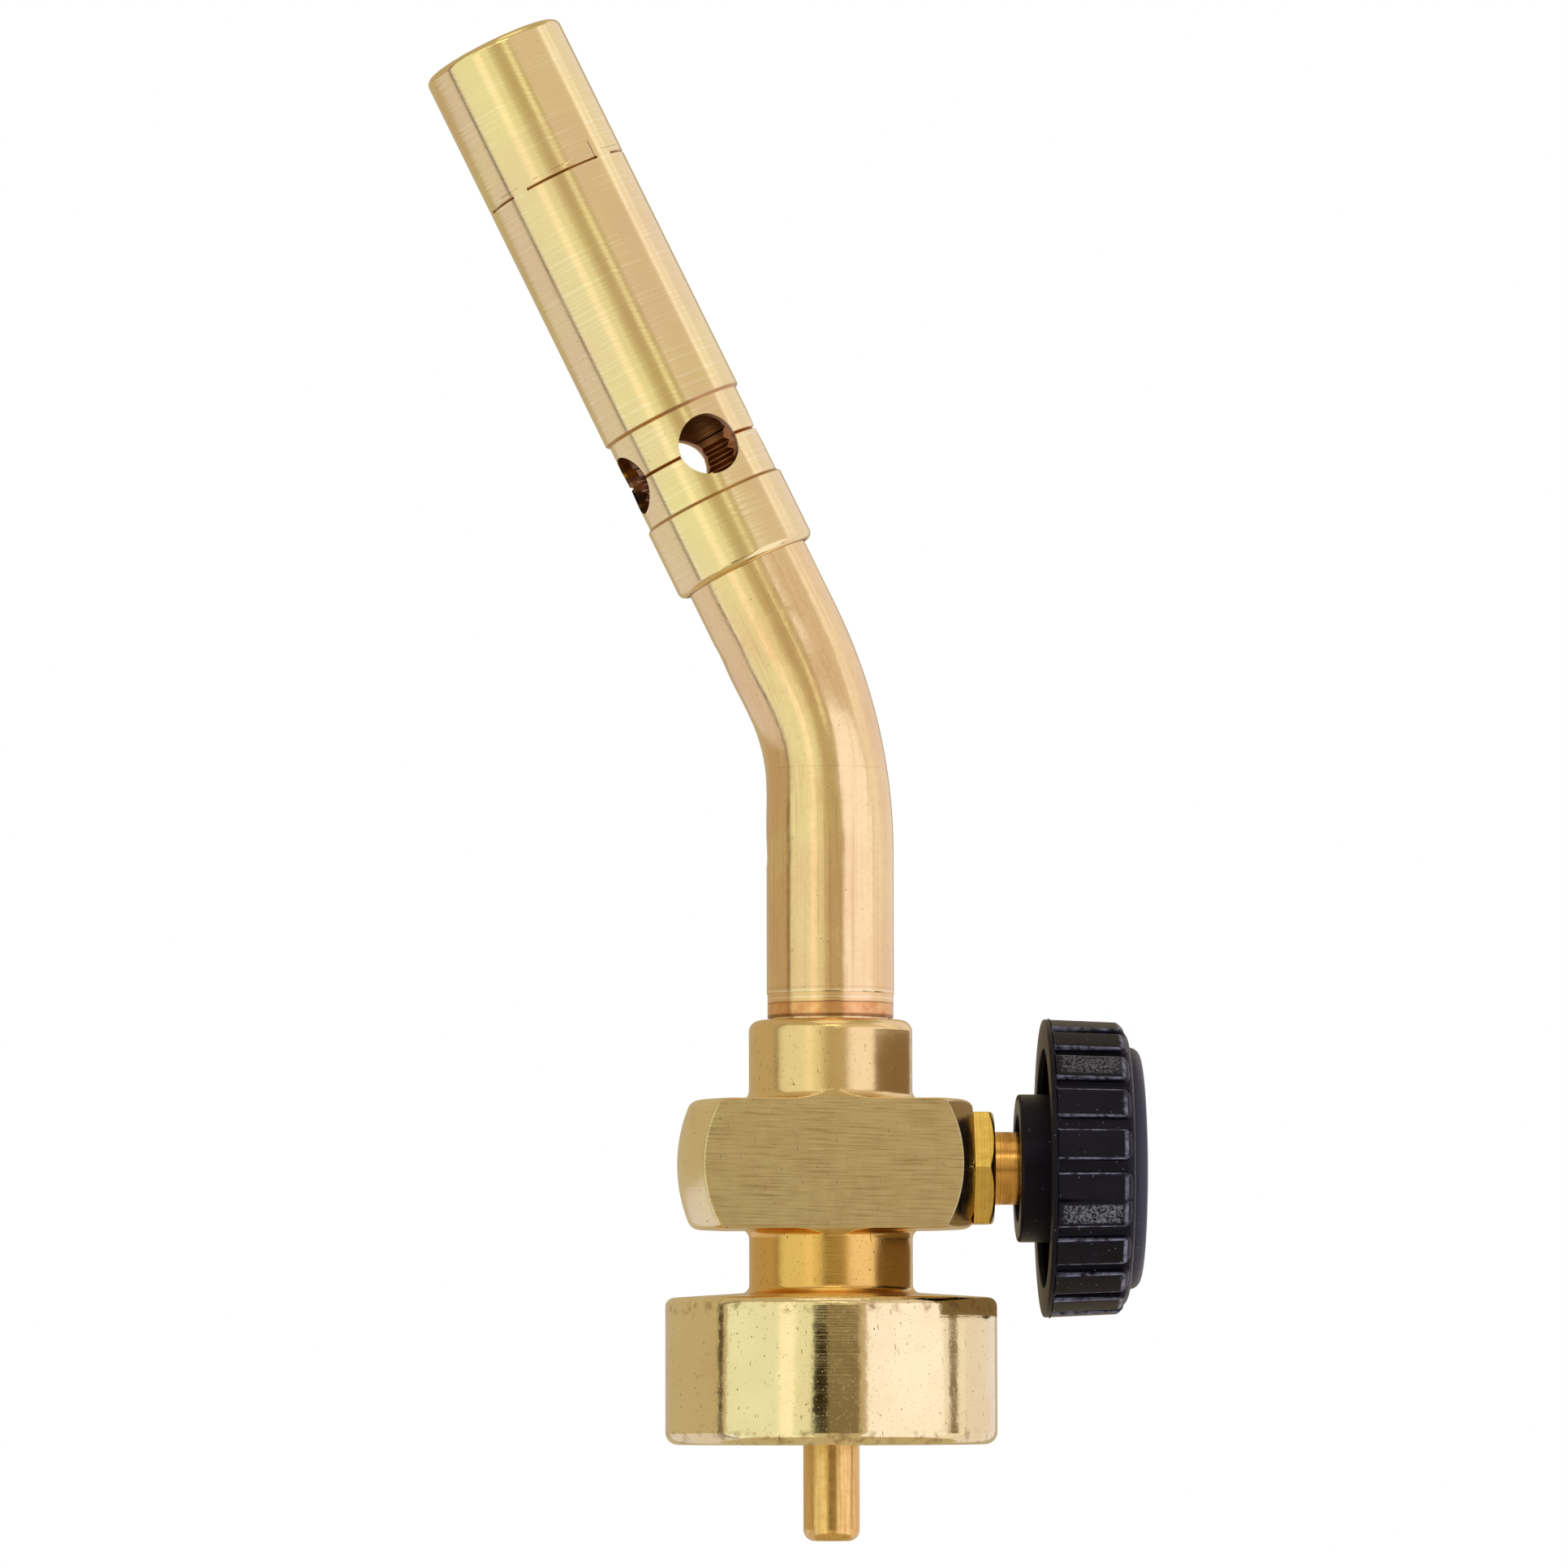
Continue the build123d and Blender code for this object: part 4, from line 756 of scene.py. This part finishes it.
# %% Nut brass
nut_brass = material_called("machined_yellow_brass")
tree = nut_brass.node_tree
place = along(tree)
axes = add(tree, "SeparateXYZ", {"Vector": place})
cutter = lines(tree, axes.outputs["X"], 0.22 * MM, 3.0)
streaked = add(tree, "MapRange", {"Value": cutter, "From Min": 0.5, "From Max": 0.68})
mottled = cloud(tree, place, 0.9 * MM)
pits = marks(tree, place, 0.16 * MM, 0.14 * MM, 0.25)
height = sum_of(tree, (cutter, 4.0), (pits, -3.0), (mottled, 2.0))
colour = tinted(tree, linear("#F0CF6E"), "#B98A32", streaked, 0.45)
colour = tinted(tree, colour, "#E0B458", mottled, 0.4)
colour = tinted(tree, colour, "#6A4A18", pits, 0.8)
roughness = sum_of(tree, (mottled, 0.08), (cutter, 0.06), (1.0, 0.15))
FINISHES["yellow_brass"] = close(nut_brass, colour, roughness, height, 0.0028 * MM, Metallic=1.0)

# %% Stem brass
stem_brass = material_called("rubbed_brown_brass")
tree = stem_brass.node_tree
place = along(tree)
axes = add(tree, "SeparateXYZ", {"Vector": place})
cutter = lines(tree, axes.outputs["X"], 0.18 * MM, 3.0)
rubbed = add(tree, "MapRange", {"Value": cutter, "From Min": 0.42, "From Max": 0.62})
mottled = cloud(tree, place, 0.9 * MM)
height = sum_of(tree, (cutter, 2.2), (mottled, 0.8))
colour = tinted(tree, linear("#F0BA64"), "#CC8438", rubbed, 0.45)
colour = tinted(tree, colour, "#F0C070", mottled, 0.3)
roughness = sum_of(tree, (mottled, 0.08), (rubbed, 0.06), (1.0, 0.16))
FINISHES["stem_brass"] = close(stem_brass, colour, roughness, height, 0.0025 * MM, Metallic=1.0)

# %% [markdown]
# ## Brazing metal, sintered bronze and zinc-plated steel
#
# The band where the tube enters the body is a copper-rich brazing metal, melted and then cleaned,
# so its colour is warm and slightly uneven. The filters are bronze grains pressed and baked
# together, and stay porous. The knob's screw and washer are steel with a thin, faintly blue zinc
# coat, which is duller than brass.

# %% Braze metal
braze_metal = material_called("copper_brazing_metal")
tree = braze_metal.node_tree
place = along(tree)
axes = add(tree, "SeparateXYZ", {"Vector": place})
cleaned = lines(tree, axes.outputs["Z"], 0.25 * MM)
mottled = cloud(tree, place, 1.1 * MM)
# The band's lowest half millimetre is painted dark brown: painted shade where the band meets the
# neck.
shaded_low_edge = between(tree, axes.outputs["Z"], -1.0, BODY_TOP + 0.50 * MM, 0.12 * MM)
thin_top = between(tree, axes.outputs["Z"], BAND_TOP - 0.95 * MM, 1.0, 0.06 * MM)
joint_line = between(tree, axes.outputs["Z"], BAND_TOP - 1.0 * MM, BAND_TOP - 0.85 * MM, 0.06 * MM)
# A pale line just below the band's top is a painted highlight along the ridge there, with a little
# relief.
highlight_ridge = between(
    tree, axes.outputs["Z"], BAND_TOP - 0.55 * MM, BAND_TOP - 0.40 * MM, 0.05 * MM
)
height = sum_of(tree, (cleaned, 1.6), (mottled, 1.5), (highlight_ridge, 2.0), (joint_line, -3.0))
colour = tinted(tree, linear("#F2BE82"), "#D98E58", mottled, 0.6)
# Painted shade at the foot of the band.
colour = tinted(tree, colour, "#6A3A1C", shaded_low_edge, 0.7)
colour = tinted(tree, colour, "#F3D29C", thin_top, 0.85)
colour = tinted(tree, colour, "#A06A38", joint_line, 0.7)
# Painted highlight on the ridge below the band's top.
colour = tinted(tree, colour, "#FFF2CC", highlight_ridge, 0.6)
roughness = sum_of(tree, (mottled, 0.10), (1.0, 0.16))
FINISHES["copper_braze"] = close(braze_metal, colour, roughness, height, 0.003 * MM, Metallic=1.0)

# %% Filters and plated steel
filter_bronze = material_called("sintered_bronze")
tree = filter_bronze.node_tree
place = along(tree)
grains = add(tree, "TexVoronoi", {"Vector": place, "Scale": 1 / (0.25 * MM)})
between_grains = add(tree, "MapRange", {"Value": grains, "From Min": 0.35, "From Max": 0.7})
height = sum_of(tree, (grains, -1.0))
colour = tinted(tree, linear("#A8804C"), "#3A2814", between_grains, 0.9)
roughness = sum_of(tree, (between_grains, 0.3), (1.0, 0.45))
FINISHES["sintered_bronze"] = close(
    filter_bronze, colour, roughness, height, 0.08 * MM, Metallic=1.0
)

plated_steel = material_called("zinc_plated_steel")
tree = plated_steel.node_tree
place = along(tree)
spangled = cloud(tree, place, 0.9 * MM)
fine = cloud(tree, place, 0.15 * MM)
height = sum_of(tree, (spangled, 1.0), (fine, 1.0))
colour = tinted(tree, linear("#C9CCCE"), "#A9AEB4", spangled, 0.6)
roughness = sum_of(tree, (fine, 0.10), (1.0, 0.24))
FINISHES["zinc_steel"] = close(plated_steel, colour, roughness, height, 0.003 * MM, Metallic=1.0)

# %% [markdown]
# ## Knob: moulded black plastic
#
# The knob and its cap are black nylon or phenolic, moulded in a lightly sparked tool, so they are
# satin, not glossy, with a faint violet cast in the highlights. Dust shows as tiny pale specks. A
# painted highlight runs as a lighter line along the edges and ends of the ribs, the cap's face is
# painted a little paler as a painted sheen with a painted violet-grey highlight round its rim, and
# two of the ribs are scuffed grey. A rib is found by its angle round the stem's axis: 0 at the
# front, upwards.

# %% Angles and edges of the ribs
KNOB_LOW, KNOB_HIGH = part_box("knob")
KNOB_R = (KNOB_HIGH.z - KNOB_LOW.z) / 2
KNOB_BACK, KNOB_FRONT = KNOB_LOW.x, KNOB_HIGH.x
CAP_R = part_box("knob_cap")[1].y
SEAM_UP, FIRST_RIB, RIB_STEP, RIB_HALF = -14.0, 4.95, 17.01, 5.8  # degrees
black_plastic = material_called("moulded_black_plastic")
tree = black_plastic.node_tree
place = along(tree)
axes = add(tree, "SeparateXYZ", {"Vector": place})
up = add(tree, "Math", {0: axes.outputs["Z"], 1: STEM_Z}, operation="SUBTRACT")
forward = add(tree, "Math", {0: axes.outputs["Y"], 1: -1.0}, operation="MULTIPLY")
turn = add(tree, "Math", {0: up, 1: forward}, operation="ARCTAN2")
round_stem = add(tree, "CombineXYZ", {"X": forward, "Y": up})
radius = add(tree, "VectorMath", {0: round_stem}, operation="LENGTH").outputs["Value"]
on_rib_top = between(tree, radius, KNOB_R - 0.45 * MM, 1.0, 0.08 * MM)
# The ribs repeat in two half turns that meet at a seam, so an angle is first brought into one half.
past_seam = add(tree, "Math", {0: turn, 1: radians(SEAM_UP)}, operation="SUBTRACT")
in_half = add(tree, "Math", {0: past_seam, 1: pi}, operation="FLOORED_MODULO")
gap_before = radians(FIRST_RIB - RIB_STEP / 2)
from_first = add(tree, "Math", {0: in_half, 1: gap_before}, operation="SUBTRACT")
in_step = add(tree, "Math", {0: from_first, 1: radians(RIB_STEP)}, operation="FLOORED_MODULO")
off_middle = add(tree, "Math", {0: in_step, 1: radians(RIB_STEP / 2)}, operation="SUBTRACT")
off_rib = add(tree, "Math", {0: off_middle}, operation="ABSOLUTE")
rib_edge = between(
    tree, off_rib, radians(RIB_HALF - 0.55), radians(RIB_HALF + 0.25), radians(0.15)
)
on_rib = between(tree, off_rib, -1.0, radians(RIB_HALF - 0.4), radians(0.3))
rib_end = between(
    tree, axes.outputs["X"], KNOB_FRONT - 1.15 * MM, KNOB_FRONT - 0.75 * MM, 0.1 * MM
)
end_line = add(tree, "Math", {0: on_rib, 1: rib_end}, operation="MULTIPLY")
rib_length = between(tree, axes.outputs["X"], KNOB_BACK + 3.0 * MM, KNOB_FRONT - 1.0 * MM, 0.1 * MM)
side_line = add(tree, "Math", {0: rib_edge, 1: rib_length}, operation="MULTIPLY")
# The lighter line along the rib edges and rib ends is a painted highlight, kept to the rib tops and
# broken up.
rib_edge_highlight = add(tree, "Math", {0: side_line, 1: end_line}, operation="MAXIMUM")
rib_edge_highlight = add(tree, "Math", {0: rib_edge_highlight, 1: on_rib_top}, operation="MULTIPLY")
uneven = cloud(tree, place, 0.7 * MM, 0.30, 0.62)
rib_edge_highlight = add(tree, "Math", {0: rib_edge_highlight, 1: uneven}, operation="MULTIPLY")
print(f"knob of radius {KNOB_R / MM:.1f} mm, a rib every {RIB_STEP} degrees")

# %% [markdown]
# ### Scuffs, cap and colour
#
# A scuff is broken up by a fine grain, and keeps clear of the rib's ends. The cap is a separate
# moulding; its face is painted a little paler than the wheel, a painted sheen. The sparked tool's
# grain is really a few hundredths of a millimetre, and is drawn 0.12 mm across so that it shows.

# %% Scuffs, cap and colour of the knob
grain = cloud(tree, place, 0.12 * MM, 0.3, 0.7)
skin = cloud(tree, place, 2.5 * MM)
specks = marks(tree, place, 0.15 * MM, 0.15 * MM, 0.42)
SCUFFED = [(43.0, 4.6, 0.75), (-19.4, 3.6, 1.0)]  # degrees up from the front, half width, strength
scuff_grain = cloud(tree, place, 0.22 * MM, 0.42, 0.60)
along_rib = between(
    tree, axes.outputs["X"], KNOB_BACK + 3.6 * MM, KNOB_FRONT - 1.3 * MM, 0.35 * MM
)
scuffs = 0.0
for degrees, half, strength in SCUFFED:
    rib = between(tree, turn, radians(degrees - half), radians(degrees + half), radians(0.5))
    scuffs = add(tree, "Math", {0: rib, 1: strength, 2: scuffs}, operation="MULTIPLY_ADD")
for mask in (on_rib_top, along_rib, scuff_grain):
    scuffs = add(tree, "Math", {0: scuffs, 1: mask}, operation="MULTIPLY")
height = sum_of(tree, (grain, 1.0), (skin, 1.5), (scuff_grain, 0.6), (specks, 2.0))
colour = tinted(tree, linear("#08070A"), "#0E0C12", skin, 0.7)
# The cap's paler face is a painted sheen, and the lighter ring round its rim is a painted
# highlight.
on_cap = between(tree, axes.outputs["X"], KNOB_FRONT - 0.1 * MM, 1.0, 0.1 * MM)
cap_rim = between(tree, radius, CAP_R - 1.3 * MM, 1.0, 0.4 * MM)
cap_rim_highlight = add(tree, "Math", {0: on_cap, 1: cap_rim}, operation="MULTIPLY")
# Painted highlight: a lighter violet-grey line along the rib edges and ends.
colour = tinted(tree, colour, "#6E6C78", rib_edge_highlight, 0.75)
# Painted sheen on the cap's face, then a painted violet-grey highlight round its rim.
colour = tinted(tree, colour, "#1E1C22", on_cap, 0.6)
colour = tinted(tree, colour, "#38363E", cap_rim_highlight, 0.7)
colour = tinted(tree, colour, "#7C7A7C", specks, 0.55)
colour = tinted(tree, colour, "#7E7C7A", scuffs, 0.45)
roughness = sum_of(tree, (grain, 0.10), (scuffs, 0.20), (1.0, 0.30))
FINISHES["black_plastic"] = close(
    black_plastic,
    colour,
    roughness,
    height,
    0.006 * MM,
    Specular_IOR_Level=0.24,
    Specular_Tint=linear("#E2DCFF"),
    IOR=1.45,
)

# %% [markdown]
# ## Seals: rubber, PTFE and fibre
#
# The O-rings are black nitrile rubber, matt with a fine moulded grain. The stem's backup ring and
# seat tip are turned from white PTFE, which is waxy and faintly ringed by the lathe. The probe's
# gasket is pressed red fibre, dull and slightly furry. They show only from below or when taken
# apart.

# %% Rubber, white polymer and fibre
seal_rubber = material_called("nitrile_rubber")
tree = seal_rubber.node_tree
place = along(tree)
grain = cloud(tree, place, 0.1 * MM)
bloom = cloud(tree, place, 1.2 * MM)
colour = tinted(tree, linear("#151515"), "#232222", bloom, 0.8)
roughness = sum_of(tree, (bloom, 0.12), (1.0, 0.55))
FINISHES["black_rubber"] = close(seal_rubber, colour, roughness, grain, 0.008 * MM, IOR=1.52)

white_ptfe = material_called("turned_white_ptfe")
tree = white_ptfe.node_tree
place = along(tree)
axes = add(tree, "SeparateXYZ", {"Vector": place})
cutter = lines(tree, axes.outputs["X"], 0.15 * MM)
waxy = cloud(tree, place, 0.8 * MM)
colour = tinted(tree, linear("#EFEEE8"), "#DDDCD4", waxy, 0.8)
roughness = sum_of(tree, (waxy, 0.08), (1.0, 0.34))
FINISHES["white_polymer"] = close(white_ptfe, colour, roughness, cutter, 0.004 * MM, IOR=1.35)

red_fibre = material_called("vulcanised_fibre")
tree = red_fibre.node_tree
place = along(tree)
fibres = streaks(tree, place, (0.6 * MM, 0.12 * MM, 0.12 * MM), 4.0)
streaked = add(tree, "MapRange", {"Value": fibres, "From Min": 0.4, "From Max": 0.65})
colour = tinted(tree, linear("#7A3226"), "#4E1D16", streaked, 0.8)
roughness = sum_of(tree, (streaked, 0.1), (1.0, 0.72))
FINISHES["fibre_gasket"] = close(red_fibre, colour, roughness, fibres, 0.015 * MM, IOR=1.5)

# %% [markdown]
# ## Finishes onto the pieces
#
# Each piece gets the one finish that its record names for it.

# %% Finishes onto the pieces
for name, piece in NODES.items():
    for index in range(max(1, len(piece.material_slots))):
        if piece.material_slots:
            piece.material_slots[index].material = FINISHES[SLOTS[name]]
        else:
            piece.data.materials.append(FINISHES[SLOTS[name]])
print(len(NODES), "pieces finished with", len(set(SLOTS.values())), "materials")
